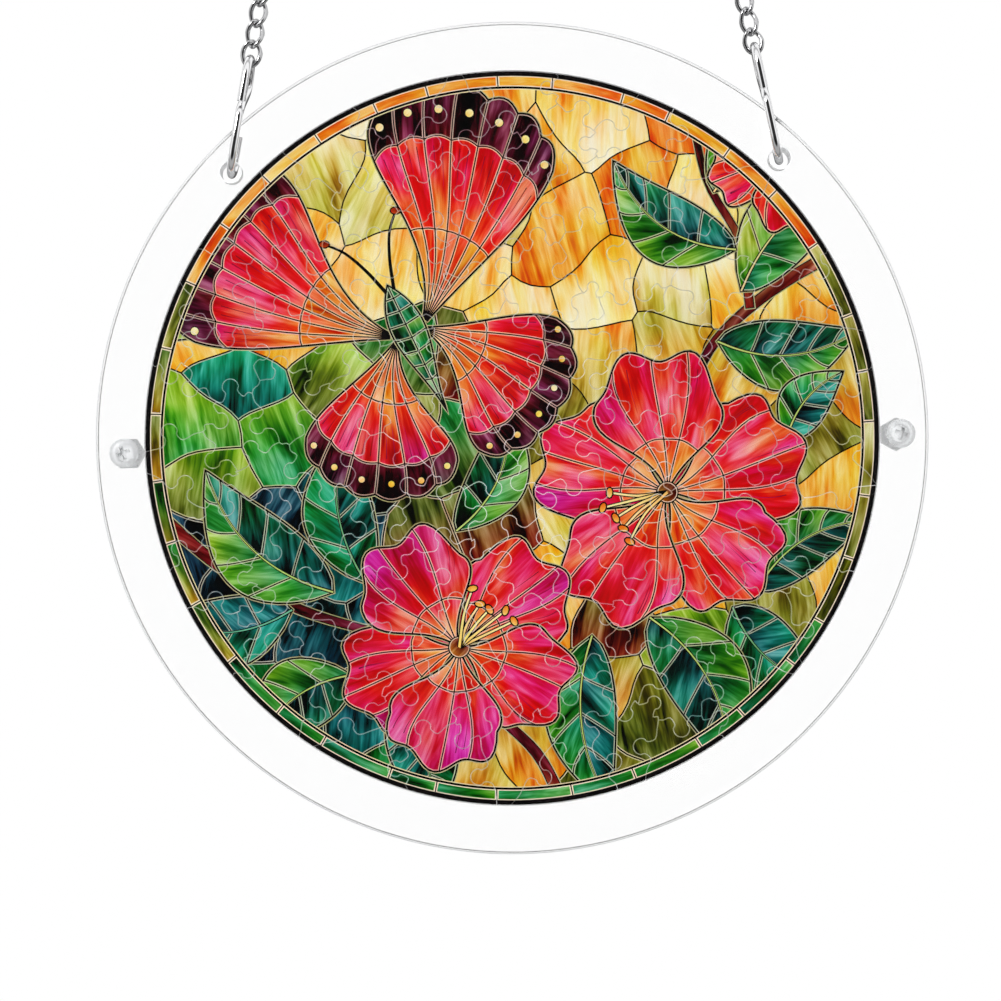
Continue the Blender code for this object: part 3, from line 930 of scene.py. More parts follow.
def choose_knobs(edges):
    """Turn each straight edge into its cut line, keeping knobs clear of all other lines."""
    straight = {pair: np.linspace(*ends, 9) for pair, ends in edges.items()}
    lines = {}
    for pair, (start, end) in edges.items():
        length = np.hypot(*(end - start))
        others = np.vstack([lines.get(other, points) for other, points in straight.items()
                            if other != pair])
        others = others[np.hypot(*(others - (start + end) / 2).T) < LOOK_ROUND]
        lean, first_side = rng.uniform(-1, 1), rng.choice((-1, 1))
        lines[pair] = cut_line(start, end, 1, 0, lean)
        for size, side in product(KNOB_SIZES, (first_side, -first_side)):
            line = cut_line(start, end, side, size, lean)
            knob = line[KNOB_PART]
            gap = np.hypot(*(others[:, None] - knob[None]).transpose(2, 0, 1)).min()
            far_in = np.hypot(*knob.T).max() < JIGSAW_RADIUS - RIM_ROOM
            if length > KNOB_EDGE * size and gap > KNOB_ROOM and far_in:
                lines[pair] = line
                break
    return lines


def piece_outlines():
    seeds = sunflower(JIGSAW_PIECES, JIGSAW_RADIUS - 1.0, 1.2)
    cells = nearest_cells(seeds, JIGSAW_RADIUS, 240)
    lines = choose_knobs(shared_edges(cells))
    outlines = []
    for index, cell in enumerate(cells):
        outline = []
        for corner, neighbour in cell:
            if neighbour < 0:
                outline.append(np.array([corner]))
            elif neighbour > index:
                outline.append(lines[index, neighbour])
            else:
                line = lines[neighbour, index]
                outline.append(np.vstack([[corner], line[:0:-1]]))
        outlines.append(tidy_loop(np.vstack(outline), 0.02))
    return outlines, len(lines)


outlines, line_count = piece_outlines()
piece_edges = [grow(outline, -KERF / 2) for outline in outlines]
piece_faces = [grow(outline, -KERF / 2 - CUT_LIGHT_RIM) for outline in outlines]
print("jigsaw:", len(outlines), "pieces,", line_count, "shared cuts")

# %% [markdown]
# All the outlines, of glass and of pieces, now go into one constrained triangulation. It
# keeps every line as a row of edges, and it splits lines where they cross. Then each
# triangle is asked which outlines its middle lies in: the last pane on the pile gives its
# colour, and the piece whose edge holds it takes it. Triangles in the kerf belong to no
# piece and are left out, which is what parts the pieces.

# %% What lies inside an outline
def inside(loop, points):
    """Which points lie inside an outline, by how often it winds round them."""
    after = np.roll(loop, -1, 0)
    x, y = points[:, :1], points[:, 1:]
    left_of = ((after[:, 0] - loop[:, 0]) * (y - loop[:, 1])
               - (x - loop[:, 0]) * (after[:, 1] - loop[:, 1]))
    upward = (loop[:, 1] <= y) & (after[:, 1] > y) & (left_of > 0)
    downward = (loop[:, 1] > y) & (after[:, 1] <= y) & (left_of < 0)
    return upward.sum(1) - downward.sum(1) > 0


def mark(labels, value, loop, points):
    """Give a value to the points inside an outline. The points run from left to right."""
    (left, low), (right, high) = loop.min(0), loop.max(0)
    first, last = np.searchsorted(points[:, 0], (left, right))
    near = first + np.flatnonzero((points[first:last, 1] > low) & (points[first:last, 1] < high))
    if len(near):
        labels[near[inside(loop, points[near])]] = value


# %% Triangulate the picture
LATTICE = 2.6                      # loose points, so that no triangle grows long and thin


def triangulate(loops, loose_points):
    corners, edges = [], []
    for loop in loops:
        first = len(corners)
        corners.extend(Vector(point) for point in loop)
        edges.extend((first + k, first + (k + 1) % len(loop)) for k in range(len(loop)))
    corners.extend(Vector(point) for point in loose_points)
    points, _, faces, *_ = delaunay_2d_cdt(corners, edges, [], 0, 0.0005)
    return np.array(points), np.array(faces)


spacing = np.arange(-PICTURE_RADIUS / MM, PICTURE_RADIUS / MM, LATTICE)
lattice = np.array([(x + LATTICE / 2 * (row % 2), y) for row, y in enumerate(spacing) for x in spacing])
lattice = lattice[np.hypot(*lattice.T) < PICTURE_EDGE]
points, triangles = triangulate([pane["loop"] for pane in panes] + piece_edges + piece_faces
                                + [circle(radius) for radius, _ in RINGS], lattice)
triangles = triangles[np.argsort(points[triangles, 0].mean(1))]
middles = points[triangles].mean(1)

pane_of = np.zeros(len(triangles), int)
piece_of = np.full(len(triangles), -1)
face_of = np.full(len(triangles), -1)
for number, pane in enumerate(panes[:border_panes_from]):
    mark(pane_of, number, pane["loop"], middles)
for radius, colour in RINGS:
    pane_of[np.hypot(*middles.T) > radius] = len(panes)
    paint(circle(radius), colour)
for number, pane in enumerate(panes[border_panes_from:-len(RINGS)], border_panes_from):
    mark(pane_of, number, pane["loop"], middles)
for number, (edge, face) in enumerate(zip(piece_edges, piece_faces)):
    mark(piece_of, number, edge, middles)
    mark(face_of, number, face, middles)
kept = piece_of >= 0
triangles, pane_of, face_of, piece_of = [rows[kept] for rows in
                                         (triangles, pane_of, face_of, piece_of)]
print("picture:", len(triangles), "triangles on its face")

# %% [markdown]
# Hand-made glass has streaks where it runs thicker or thinner, and thick glass is deeper in
# colour. The node group adds up noises that are stretched along the pane's own run, and
# raises the colour to that thickness, as light does on its way through. It takes the
# pane's place and colour from the mesh, so each pane has streaks of its own.

# %% Node group: streaked glass
def make_streaks():
    group, given, result = new_group(
        "streaked_glass",
        [("Run", "NodeSocketVector", None), ("Colour", "NodeSocketColor", (0.5, 0.5, 0.5, 1)),
         ("Amount", "NodeSocketFloat", 1.0)],
        [("Colour", "NodeSocketColor")])

    def calculate(operation, first, second):
        return add_node(group, "Math", {0: first, 1: second}, operation=operation).outputs[0]

    def noise(across, along, detail, offset, distortion, low, high):
        """Noise with so many waves in a millimetre across and along the run, from low to high."""
        stretched = add_node(group, "Mapping", {"Vector": given["Run"], "Scale": (across, along, 1),
                                                "Location": (offset, offset, 0)})
        value = add_node(group, "TexNoise", {"Vector": stretched.outputs[0], "Scale": 1.0,
                                             "Detail": detail, "Distortion": distortion}).outputs[0]
        return add_node(group, "MapRange", {"Value": value, "From Min": 0.3, "From Max": 0.7,
                                            "To Min": low, "To Max": high}).outputs[0]

    hue = noise(0.14, 0.06, 1.0, 9.0, 0.0, 0.478, 0.522)
    hued = add_node(group, "HueSaturation", {"Hue": hue, "Color": given["Colour"]}).outputs[0]
    broad = noise(0.13, 0.055, 1.0, 31.0, 0.6, -0.90, 1.25)
    streak = noise(0.48, 0.075, 2.0, 3.0, 0.9, -0.75, 0.85)
    brush = noise(1.30, 0.11, 1.0, 17.0, 0.7, -0.32, 0.32)
    uneven = calculate("ADD", calculate("ADD", broad, streak), brush)
    thickness = calculate("POWER", 2.0, calculate("MULTIPLY", uneven, given["Amount"]))
    colour = add_node(group, "Gamma", {"Color": hued, "Gamma": thickness}).outputs[0]
    group.links.new(colour, result["Colour"])
    return group


STREAKS = make_streaks()
print("node group", STREAKS.name, "with", len(STREAKS.nodes), "nodes")


# %% Printed faces and cut walls
def printed(name, paleness, low, high):
    """Ink on acrylic; paleness mixes in white, which paints light on the cut walls of a piece."""
    material, tree, shader = new_material(name, IOR=1.49, Specular_IOR_Level=0.35)
    ink = add_node(tree, "Attribute", attribute_name="glass_colour").outputs
    run = add_node(tree, "UVMap", uv_map="run").outputs[0]
    streaks = add_node(tree, "Group", {"Run": run, "Colour": ink["Color"], "Amount": ink["Alpha"]},
                       node_tree=STREAKS)
    colour = mix_colours(tree, paleness, streaks.outputs["Colour"], (1, 1, 1, 1))
    tree.links.new(colour, shader.inputs["Base Color"])
    give_polish(tree, shader, low, high)
    return material


PRINT = printed("printed_glass_colours", 0.0, 0.06, 0.16)
# The cut walls get painted light: white is mixed in where the narrow cut would lie in shade
CUT_WALL = printed("cut_wall_painted_light", 0.62, 0.25, 0.50)

# %% [markdown]
# The flat sheet gets its thickness from Solidify, which also draws the mirrored picture on
# the back. Its rim is made a little thinner, so each piece has the softened edge that the
# laser leaves. Separating loose parts then gives one solid for each piece.

# %% Make the sheet
def linear(colour):
    """Display colour (0 to 255) to the linear values that shaders use."""
    colour = np.asarray(colour, float) / 255
    return np.where(colour < 0.04045, colour / 12.92, ((colour + 0.055) / 1.055) ** 2.4)


CUT_LIGHT_WHITE = 240                 # out of 255
CUT_LIGHT_SHARE = 0.42                # how much of that white the painted light on a piece's rim takes up


def corner_colours():
    """The colour of each triangle's corners, and where they lie along the pane's run."""
    near, far, start, end, shift = [np.array([pane[key] for pane in panes], float)[pane_of]
                                    for key in ("near", "far", "start", "end", "shift")]
    streaks = np.array([pane["streaks"] for pane in panes])[pane_of]
    run = end - start
    length = np.maximum(np.hypot(*run.T), 1e-6)
    run /= length[:, None]
    offset = points[triangles] - start[:, None]
    along = (offset * run[:, None]).sum(2)
    across = offset[:, :, 0] * run[:, None, 1] - offset[:, :, 1] * run[:, None, 0]
    share = np.clip(along / length[:, None], 0, 1)[:, :, None]
    display = near[:, None] * (1 - share) + far[:, None] * share
    clamped = np.hypot(*middles[kept].T) > BORDER_HIGH
    # Painted light: a piece's rim, outside its face and inside the border, is mixed with white and is
    # less streaky
    painted_light = ((face_of < 0) & ~clamped)[:, None, None]
    display = np.where(painted_light, display * (1 - CUT_LIGHT_SHARE) + CUT_LIGHT_WHITE * CUT_LIGHT_SHARE, display)
    colour = linear(display)
    alpha = np.repeat(streaks, 3).reshape(-1, 3, 1) * np.where(painted_light, 0.5, 1.0)
    uv = np.stack([across, along], 2) + shift[:, None]
    return np.concatenate([colour, alpha], 2), uv


def make_sheet():
    """The flat sheet. A corner on a line between two pieces is used once by each of them."""
    used, index = np.unique(triangles + piece_of[:, None] * len(points), return_inverse=True)
    used, faces = used % len(points), index.reshape(-1, 3)
    places = np.column_stack([points[used, 0] * MM, np.zeros(len(used)),
                              points[used, 1] * MM + DISC_CENTRE.z])
    mesh = bpy.data.meshes.new("picture_sheet")
    mesh.from_pydata(places.tolist(), [], faces.tolist())
    colour, uv = corner_colours()
    mesh.color_attributes.new("glass_colour", "FLOAT_COLOR", "CORNER")
    mesh.color_attributes["glass_colour"].data.foreach_set("color", colour.astype(np.float32).ravel())
    mesh.uv_layers.new(name="run").data.foreach_set("uv", uv.astype(np.float32).ravel())
    sheet = bpy.data.objects.new("picture_sheet", mesh)
    bpy.context.scene.collection.objects.link(sheet)
    sides = np.sort(np.vstack([faces[:, [0, 1]], faces[:, [1, 2]], faces[:, [2, 0]]]), axis=1)
    pairs, times_used = np.unique(sides, axis=0, return_counts=True)
    rim = np.unique(pairs[times_used == 1])
    flat = sheet.vertex_groups.new(name="flat")
    flat.add(np.setdiff1d(np.arange(len(used)), rim).tolist(), 1.0, "REPLACE")
    sheet.data.materials.append(PRINT)
    sheet.data.materials.append(CUT_WALL)
    return sheet


sheet = make_sheet()
apply_modifier(sheet, "SOLIDIFY", thickness=PICTURE_HIGH.y - PICTURE_LOW.y, offset=0.0,
               vertex_group="flat", thickness_vertex_group=0.90, material_offset_rim=1)
sheet.vertex_groups.clear()
print("sheet:", len(sheet.data.polygons), "faces")

# %% Part the sheet into its pieces
ROW_HEIGHT = 16 * MM

choose(sheet)
bpy.ops.object.mode_set(mode="EDIT")
bpy.ops.mesh.select_all(action="SELECT")
bpy.ops.mesh.separate(type="LOOSE")
bpy.ops.object.mode_set(mode="OBJECT")


def reading_order(piece):
    """Top row first, and left to right within a row."""
    middle = sum((Vector(corner) for corner in piece.bound_box), Vector()) / 8
    return (-round((middle.z - DISC_CENTRE.z) / ROW_HEIGHT), middle.x)


pieces = sorted(bpy.context.selected_objects, key=reading_order)
for number, piece in enumerate(pieces, 1):
    piece.name = piece.data.name = f"puzzle_piece_{number:03d}"
    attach(piece, "root")
    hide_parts("picture_disc")
print(len(pieces), "puzzle pieces, the largest", max(len(p.data.polygons) for p in pieces), "faces")

# %% [markdown]
# ## Screws and nuts
#
# The stack is clamped by two clear plastic M4 screws. A screw is turned work: its profile,
# half a section with the thread's ridges on it, is spun round the axis. The cross recess
# is then cut with two tapering bars. A nut is a hexagon whose corners are turned off at a
# slant, which is the same as keeping only what lies inside a wide cone.

# %% Screw
HEAD_RADIUS = 3.5 * MM
HEAD_HEIGHT = 2.4 * MM
HEAD_SIDE = 0.42                   # share of its height that stands straight, below the dome
HEAD_CHAMFER = 0.15 * MM
SHANK_RADIUS = 1.95 * MM
THREAD_PITCH = 0.7 * MM
THREAD_DEPTH = 0.22 * MM
SHANK_CHAMFER = 0.45 * MM
RECESS_LENGTH, RECESS_WIDTH, RECESS_DEPTH = 3.9 * MM, 1.0 * MM, 1.2 * MM
RECESS_TAPER = 0.72
RECESS_TURN = 20                   # degrees
SEAT_GAP = 0.3 * MM


def screw_outline(shank_length):
    """Half a section as (radius, depth); depth is counted back from under the head."""
    domed = [(HEAD_RADIUS * math.sin(a), -HEAD_HEIGHT * (HEAD_SIDE + (1 - HEAD_SIDE) * math.cos(a)))
             for a in np.radians(range(0, 91, 15))]
    under = [(HEAD_RADIUS, -HEAD_CHAMFER), (HEAD_RADIUS - HEAD_CHAMFER, 0), (SHANK_RADIUS, 0)]
    ridges = []
    depth = 0.5 * MM
    while depth < shank_length - 2 * SHANK_CHAMFER:
        ridges += [(SHANK_RADIUS, depth), (SHANK_RADIUS - THREAD_DEPTH, depth + THREAD_PITCH / 2)]
        depth += THREAD_PITCH
    tip = [(SHANK_RADIUS, shank_length - SHANK_CHAMFER),
           (SHANK_RADIUS - SHANK_CHAMFER, shank_length), (0, shank_length)]
    return domed + under + ridges + tip


def spin_round(outline, centre, steps=32):
    """Turn an outline of (radius, depth) round a line along Y through centre."""
    mesh = bpy.data.meshes.new("outline")
    obj = bpy.data.objects.new("turned", mesh)
    bpy.context.scene.collection.objects.link(obj)
    choose(obj)
    places = [(centre.x + radius, centre.y + depth, centre.z) for radius, depth in outline]
    mesh.from_pydata(places, [(k, k + 1) for k in range(len(places) - 1)], [])
    bpy.ops.object.mode_set(mode="EDIT")
    bpy.ops.mesh.select_all(action="SELECT")
    bpy.ops.mesh.spin(steps=steps, angle=2 * math.pi, center=centre, axis=(0, 1, 0))
    bpy.ops.mesh.select_all(action="SELECT")
    bpy.ops.mesh.remove_doubles(threshold=0.005 * MM)
    bpy.ops.mesh.normals_make_consistent(inside=False)
    bpy.ops.object.mode_set(mode="OBJECT")
    return obj


def recess_bar(centre, degrees):
    """A bar that narrows towards the bottom of the recess."""
    bpy.ops.mesh.primitive_cube_add(size=1, location=centre)
    bar = bpy.context.object
    bar.dimensions = (RECESS_LENGTH, 2 * RECESS_DEPTH, RECESS_WIDTH)
    bar.rotation_euler = (0, math.radians(degrees), 0)
    place(bar)
    edit_only(bar, "vertices", lambda vertex: vertex.co.y > centre.y)
    bpy.ops.transform.resize(value=(RECESS_TAPER, 1, RECESS_TAPER), center_override=centre)
    bpy.ops.object.mode_set(mode="OBJECT")
    return bar


def make_screw(hole, side):
    label = "right" if side > 0 else "left"
    seat = hole + Vector((0, STACK_FRONT - SEAT_GAP, 0))
    shank_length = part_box("screw_" + label)[1].y - seat.y
    screw = spin_round(screw_outline(shank_length), seat)
    for degrees in (RECESS_TURN, RECESS_TURN + 90):
        cut_away(screw, recess_bar(seat - Vector((0, HEAD_HEIGHT, 0)), degrees * side))
    apply_modifier(screw, "BEVEL", width=0.08 * MM, segments=1, limit_method="ANGLE",
                   angle_limit=math.radians(60))
    smooth(screw, 32)
    finish_piece(screw, "clear_screw_" + label, SCREW_PLASTIC, "clear_plastic", "screw_" + label)


# %% Nut
NUT_FLATS = 7.0 * MM
NUT_BORE = 2.2 * MM
NUT_SLANT = 0.45 * MM              # how far the corners are turned off at each face
NUT_TURNS = {-1: math.radians(30), 1: 0.0}    # how far each nut happens to be turned


def make_nut(hole, side):
    label = "right" if side > 0 else "left"
    low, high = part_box("nut_" + label)
    height = high.y - low.y
    centre = hole + Vector((0, (low.y + high.y) / 2, 0))
    nut = disc(NUT_FLATS / 2 / math.cos(math.radians(30)), height, Vector(), 6)
    nut.rotation_euler.y = NUT_TURNS[side]
    nut.location = centre
    place(nut)
    wide, half = NUT_FLATS / 2 + 0.02 * MM, height / 2
    # The cones fall back 1.7 for every 3 outwards, which is a slant of about 30 degrees
    widest, below_top = wide + 3 * NUT_SLANT, half - 1.7 * NUT_SLANT
    cone = spin_round([(0, -half), (wide, -half), (widest, -below_top), (widest, below_top),
                       (wide, half), (0, half)], centre, 48)
    apply_modifier(nut, "BOOLEAN", operation="INTERSECT", object=cone, solver="EXACT")
    bpy.data.objects.remove(cone, do_unlink=True)
    cut_away(nut, disc(NUT_BORE, 2 * height, centre, 32))
    apply_modifier(nut, "BEVEL", width=0.10 * MM, segments=2, limit_method="ANGLE",
                   angle_limit=math.radians(50))
    smooth(nut, 25)
    finish_piece(nut, "clear_nut_" + label, SCREW_PLASTIC, "clear_plastic", "nut_" + label)


for hole, side in zip(SCREW_HOLES, (-1, 1)):
    make_screw(hole, side)
    make_nut(hole, side)
print("screws and nuts: 4 pieces")

# %% [markdown]
# ## The strands' run
#
# Hooks and chain hang in one line on each side. The chain lies over its nail in a short
# arch of seven links, and each strand then leans out to its own hole. The lean depends on
# where the arch ends, and the arch on the lean, so it is settled in a few rounds.

# %% Where the strands run
LINK_PITCH = 5.1 * MM
LINKS_PER_STRAND = 52
ARCH_STEPS = 3                     # links on each side that turn the chain down
ARCH_TOP = 2.36 * MM               # centre line of the top link above the nail
STRAND_LENGTH = 291.31 * MM        # from the arch's end to the middle of the hook's hole
SLACK_JOINT = 0.38 * MM            # how much the strand is drawn up at the arch
FRONT = Vector((0, -1, 0))


def arch_joints(lean):
    """The joints of the arch on the right, from the top link down to the strand."""
    joints = [Vector((LINK_PITCH / 2, 0, ARCH_TOP))]
    for number in range(1, ARCH_STEPS + 1):
        fall = (math.radians(90) - lean) * number / ARCH_STEPS
        joints.append(joints[-1] + LINK_PITCH * Vector((math.cos(fall), 0, -math.sin(fall))))
    return joints


lean = math.radians(12)
for _ in range(20):
    lean = math.asin((HOOK_HOLES[1].x - arch_joints(lean)[-1].x) / STRAND_LENGTH)
STRAND_DOWN = Vector((math.sin(lean), 0, -math.cos(lean)))
print("strands lean", round(math.degrees(lean), 2), "degrees")


def mirrored(place, side):
    return Vector((place.x * side, place.y, place.z))

# %% [markdown]
# ## Hooks
#
# Each hook is 2 mm steel wire, bent round a 9 mm peg one way and then the other, into an
# S. Its lower curl goes through the hole, closed enough not to slip out, and its upper
# curl holds the chain. A curve with a round bevel is the simplest bent wire; it becomes a
# mesh, so that a bevel can round off the two cut ends.

# %% Outline of a hook
WIRE_RADIUS = 0.995 * MM
CURL_RADIUS = 5.5 * MM
CURL_SPACING = 17.2 * MM
CURL_ABOVE_HOLE = 5.27 * MM        # centre of the lower curl, up the strand from the hole
LOWER_TIP_RISE = 4.2 * MM
UPPER_TIP_DROP = 5.7 * MM
SPINE_LOW = 8.0 * MM               # where the spine leaves the front for the back
HOOK_TURNS = {-1: math.radians(-2), 1: math.radians(7)}    # how far each hangs turned


def hook_outline():
    """The S as (back, up) pairs, from the lower tip to the upper one; zero is the lower curl."""
    def curl(up, start, end):
        angles = np.radians(np.linspace(start, end, 25))
        return [(CURL_RADIUS * math.cos(a), up + CURL_RADIUS * math.sin(a)) for a in angles]
    spine = [(-CURL_RADIUS * math.cos(math.pi * share), SPINE_LOW + (CURL_SPACING - SPINE_LOW) * share)
             for share in np.linspace(0, 1, 17)[:-1]]
    return ([(CURL_RADIUS, LOWER_TIP_RISE)] + curl(0, 0, -180) + spine + curl(CURL_SPACING, 0, 180)
            + [(-CURL_RADIUS, CURL_SPACING - UPPER_TIP_DROP)])


# %% Bend the wire
TIP_ROUNDING = 0.5 * MM


def make_hook(hole, side):
    label = "right" if side > 0 else "left"
    down = mirrored(STRAND_DOWN, side)
    lower_curl = hole - down * CURL_ABOVE_HOLE
    wire = bpy.data.curves.new("hook", "CURVE")
    wire.dimensions = "3D"
    wire.bevel_depth = WIRE_RADIUS
    wire.bevel_resolution = 5
    wire.use_fill_caps = True
    backward = Matrix.Rotation(HOOK_TURNS[side], 3, down) @ -FRONT
    route = [lower_curl + backward * back - down * up for back, up in hook_outline()]
    spline = wire.splines.new("POLY")
    spline.points.add(len(route) - 1)
    for point, place_on_wire in zip(spline.points, route):
        point.co = (*place_on_wire, 1)
    hook = bpy.data.objects.new("hook", wire)
    bpy.context.scene.collection.objects.link(hook)
    choose(hook)
    bpy.ops.object.convert(target="MESH")
    hook = bpy.context.object
    bpy.ops.object.mode_set(mode="EDIT")
    bpy.ops.mesh.select_all(action="SELECT")
    bpy.ops.mesh.remove_doubles(threshold=0.002 * MM)
    bpy.ops.object.mode_set(mode="OBJECT")
    edit_only(hook, "polygons", lambda face: len(face.vertices) > 4)    # the two cut ends
    bpy.ops.mesh.region_to_loop()
    bpy.ops.mesh.bevel(offset=TIP_ROUNDING, segments=4, affect="EDGES")
    bpy.ops.object.mode_set(mode="OBJECT")
    smooth(hook, 60)
    finish_piece(hook, "s_hook_" + label, HOOK_CHROME, "bright_wire", "hook_" + label)
    print(hook.name, len(hook.data.polygons), "faces")


for hole, side in zip(HOOK_HOLES, (-1, 1)):
    make_hook(hole, side)

# %% [markdown]
# ## Chain
#
# A curb chain is made of oval links of round wire, each twisted by a quarter turn so that
# the chain lies flat. One link starts as a circle, drawn out to an ellipse and bevelled to
# a round wire. Each vertex is then turned about the link's length, more towards the ends.
# The link on the hook is wider and keeps its lower end flat, for the thicker wire in it.

# %% One link
LINK_WIRE = 0.57 * MM
LINK_WIDTH = 1.78 * MM             # half, to the middle of the wire, as the next two are
LINK_REACH = 3.14 * MM
LAST_LINK_WIDTH, LAST_LINK_REACH = 2.1 * MM, 2.70 * MM
LINK_TWIST = math.radians(45)      # at each end, in opposite directions
LINK_WOBBLE = 2                    # degrees, at most


def link_mesh(half_width, lower_reach, flat_below):
    middle = (LINK_REACH - lower_reach) / 2
    bpy.ops.curve.primitive_bezier_circle_add(radius=1, location=(middle, 0, 0))
    link = bpy.context.object
    link.scale = (LINK_REACH - middle, half_width, 1)
    bpy.ops.object.transform_apply(location=True, scale=True, properties=False)
    link.data.resolution_u = 8
    link.data.bevel_depth = LINK_WIRE
    link.data.bevel_resolution = 3
    bpy.ops.object.convert(target="MESH")
    link = bpy.context.object
    for vertex in link.data.vertices:
        share = vertex.co.x / LINK_REACH
        vertex.co = Matrix.Rotation(LINK_TWIST * max(share, flat_below), 3, "X") @ vertex.co
    smooth(link, 60)
    mesh = link.data
    bpy.data.objects.remove(link)
    return mesh


plain_link = link_mesh(LINK_WIDTH, LINK_REACH, -1.2)
last_link = link_mesh(LAST_LINK_WIDTH, LAST_LINK_REACH, 0.0)


# %% Hang the links
def hang(mesh, centre, along):
    """A copy of a link, its length along the chain and its flat side to the front."""
    link = bpy.data.objects.new("link", mesh.copy())
    bpy.context.scene.collection.objects.link(link)
    wobble = Matrix.Rotation(math.radians(rng.uniform(-LINK_WOBBLE, LINK_WOBBLE)), 4, along)
    turned = Matrix((along, FRONT.cross(along), FRONT)).transposed().to_4x4()
    link.data.transform(Matrix.Translation(centre) @ wobble @ turned)
    return link


def make_chain(name, links, node):
    choose(*links)
    bpy.ops.object.join()
    finish_piece(bpy.context.object, name, CHAIN_NICKEL, "bright_wire", node)
    print(name, len(links), "links,", len(bpy.context.object.data.polygons), "faces")


for side, label in ((-1, "left"), (1, "right")):
    top, down = mirrored(arch_joints(lean)[-1], side), mirrored(STRAND_DOWN, side)
    links = [hang(last_link if number == LINKS_PER_STRAND - 1 else plain_link,
                  top + down * ((number + 0.5) * LINK_PITCH - SLACK_JOINT), -down)
             for number in range(LINKS_PER_STRAND)]
    make_chain("curb_chain_" + label, links, "chain_" + label)

right_joints = arch_joints(lean)
joints = [mirrored(joint, -1) for joint in reversed(right_joints)] + right_joints
arch = [hang(plain_link, (start + end) / 2, (end - start).normalized())
        for start, end in zip(joints, joints[1:])]
make_chain("curb_chain_arch", arch, "chain_top")

# %% [markdown]
# ## Floor, light and camera
#
# Clear acrylic shows only what it bends and mirrors, so it is lit the way glass is lit in
# a studio: bright behind, dimmer to the sides, and dark where a flat face would mirror
# straight back. The sides give the rims their grey lines, and the dark front gives bright
# wire its black core line. What falls on the print is an even soft light, so its colours
# read true.

# %% Surroundings
WHITE = (1, 1, 1, 1)               # what the camera sees past the object
SIDE_GREYS = (0.34, 0.62)          # seen in the right-hand side, and in the left-hand one
BEHIND = 1.22                      # makes up for what six clear faces mirror away
PRINT_LIGHT = 1.58
FLOOR_SHARE = 0.40                 # how bright the lower half is mirrored, beside the upper
# What a polished surface mirrors, from straight in front (0) to straight behind (1)
MIRROR_LEVELS = [(0.10, 0.03), (0.17, 1.05), (0.38, 1.05), (0.50, 0.40), (0.65, 1.05),
                 (0.88, 1.05), (0.94, 0.12)]


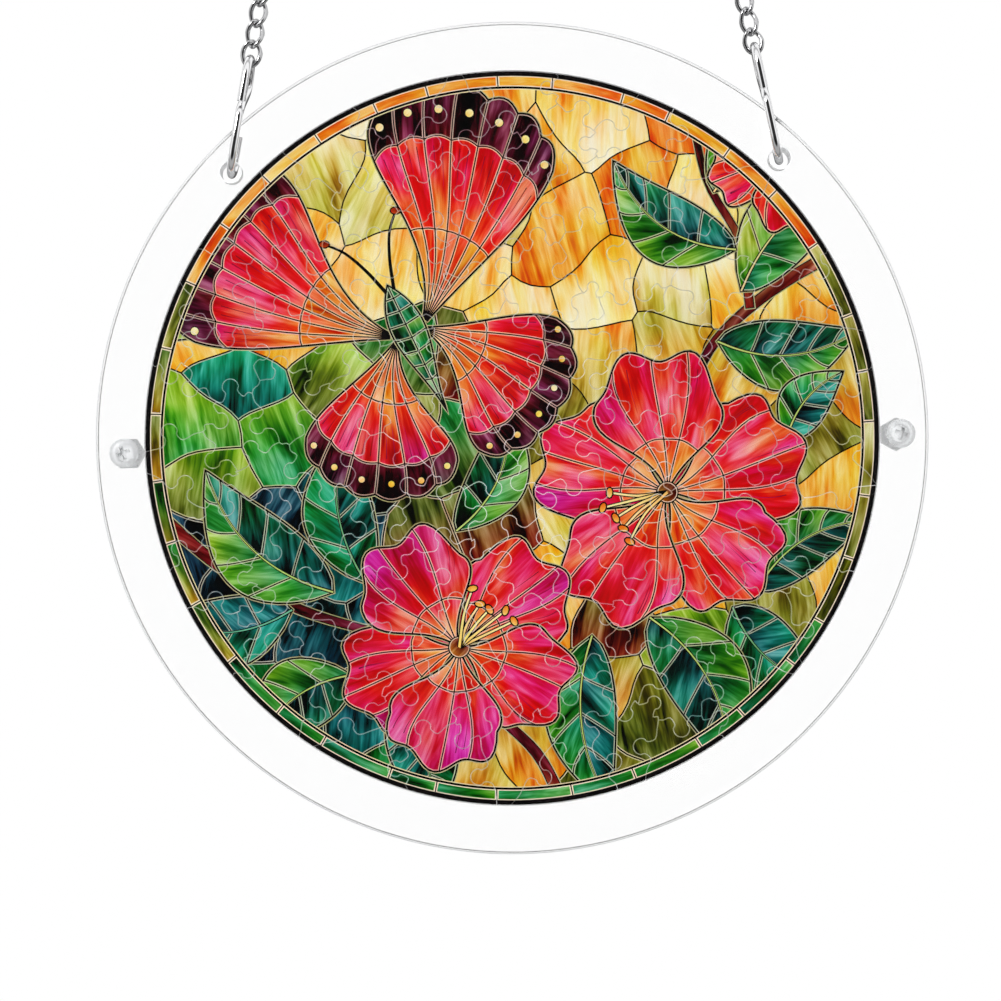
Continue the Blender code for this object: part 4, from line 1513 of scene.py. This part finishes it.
def make_world():
    world = bpy.data.worlds.new("studio")
    world.use_nodes = True
    bpy.context.scene.world = world
    tree = world.node_tree
    direction = add_node(tree, "TexCoord").outputs["Generated"]
    axes = add_node(tree, "SeparateXYZ", {0: direction}).outputs

    def spread(value, low, high, level_at_low, level_at_high):
        return add_node(tree, "MapRange", {"Value": value, "From Min": low, "From Max": high,
                                           "To Min": level_at_low, "To Max": level_at_high}).outputs[0]

    facing = add_node(tree, "Math", {0: axes["Y"]}, operation="ABSOLUTE").outputs[0]
    side = spread(axes["X"], 0.9, -0.9, *SIDE_GREYS)
    through = spread(facing, 0.10, 0.70, side, BEHIND)
    reflected = add_node(tree, "ValToRGB", {0: spread(axes["Y"], -1.0, 1.0, 0.0, 1.0)})
    ramp = reflected.color_ramp
    ramp.elements[0].position = MIRROR_LEVELS[0][0]
    ramp.elements[1].position = MIRROR_LEVELS[-1][0]
    for position, _ in MIRROR_LEVELS[1:-1]:
        ramp.elements.new(position)
    for element, (_, level) in zip(ramp.elements, MIRROR_LEVELS):
        element.color = (level, level, level, 1)
    share = spread(axes["Z"], -0.30, 0.05, FLOOR_SHARE, 1.0)
    reflected = mix_colours(tree, 1.0, reflected.outputs[0], share, "MULTIPLY")
    path = add_node(tree, "LightPath").outputs

    def above(value, level):
        return add_node(tree, "Math", {0: value, 1: level}, operation="GREATER_THAN").outputs[0]

    # A ray that a rim has turned round inside the acrylic still leaves by the back
    turned_inside = add_node(tree, "Math", {0: above(path["Transmission Depth"], 0.5),
                                            1: above(axes["Y"], 0.0)}, operation="MULTIPLY")
    seen = mix_colours(tree, turned_inside.outputs[0], reflected, through)
    colour = mix_colours(tree, above(path["Glossy Depth"], 0.5), through, seen)
    colour = mix_colours(tree, above(path["Diffuse Depth"], 0.5), colour, (PRINT_LIGHT,) * 3 + (1,))
    colour = mix_colours(tree, path["Is Camera Ray"], colour, WHITE)
    tree.links.new(colour, tree.nodes["Background"].inputs["Color"])
    world.cycles.sampling_method = "NONE"


make_world()
print("surroundings:", len(bpy.context.scene.world.node_tree.nodes), "nodes")

# %% Floor and softbox
FLOOR_DROP = 0.32                  # metres below the object

bpy.ops.mesh.primitive_plane_add(size=1.3, location=(0, 0.05, cad_box[0][2] - FLOOR_DROP))
floor = bpy.context.object
floor.name = "floor"
floor.visible_glossy = False       # the acrylic mirrors the dimmer surroundings instead
floor_paint = new_material("pale_floor", Base_Color=(0.70, 0.70, 0.69, 1), Roughness=0.8)[0]
floor.data.materials.append(floor_paint)

bpy.ops.object.light_add(type="AREA", location=(-0.75, -0.9, 0.35))
softbox = bpy.context.object
softbox.name = "softbox"
softbox.data.size = 0.5
softbox.data.energy = 9.0
aim = DISC_CENTRE - softbox.location
softbox.rotation_euler = aim.to_track_quat("-Z", "Y").to_euler()

# %% [markdown]
# The camera looks straight at the disc from about half a metre, a little low and to the
# left of its centre, and the disc hangs turned by about a degree.

# %% Camera
CAMERA_DISTANCE = 0.55
CAMERA_LEFT, CAMERA_LOW = 3.2 * MM, 14.95 * MM
HALF_VIEW = 120.15 * MM
CAMERA_ROLL = math.radians(1.45)
SENSOR = 36.0

bpy.ops.object.camera_add()
camera = bpy.context.object
camera.data.sensor_width = SENSOR
camera.data.lens = SENSOR * CAMERA_DISTANCE / (2 * HALF_VIEW)
camera.location = DISC_CENTRE + Vector((-CAMERA_LEFT, STACK_FRONT - CAMERA_DISTANCE, -CAMERA_LOW))
camera.rotation_euler = (math.radians(90), CAMERA_ROLL, 0)
bpy.context.scene.camera = camera
bpy.context.scene.view_settings.view_transform = "Standard"
print("camera: lens", round(camera.data.lens, 1), "mm")
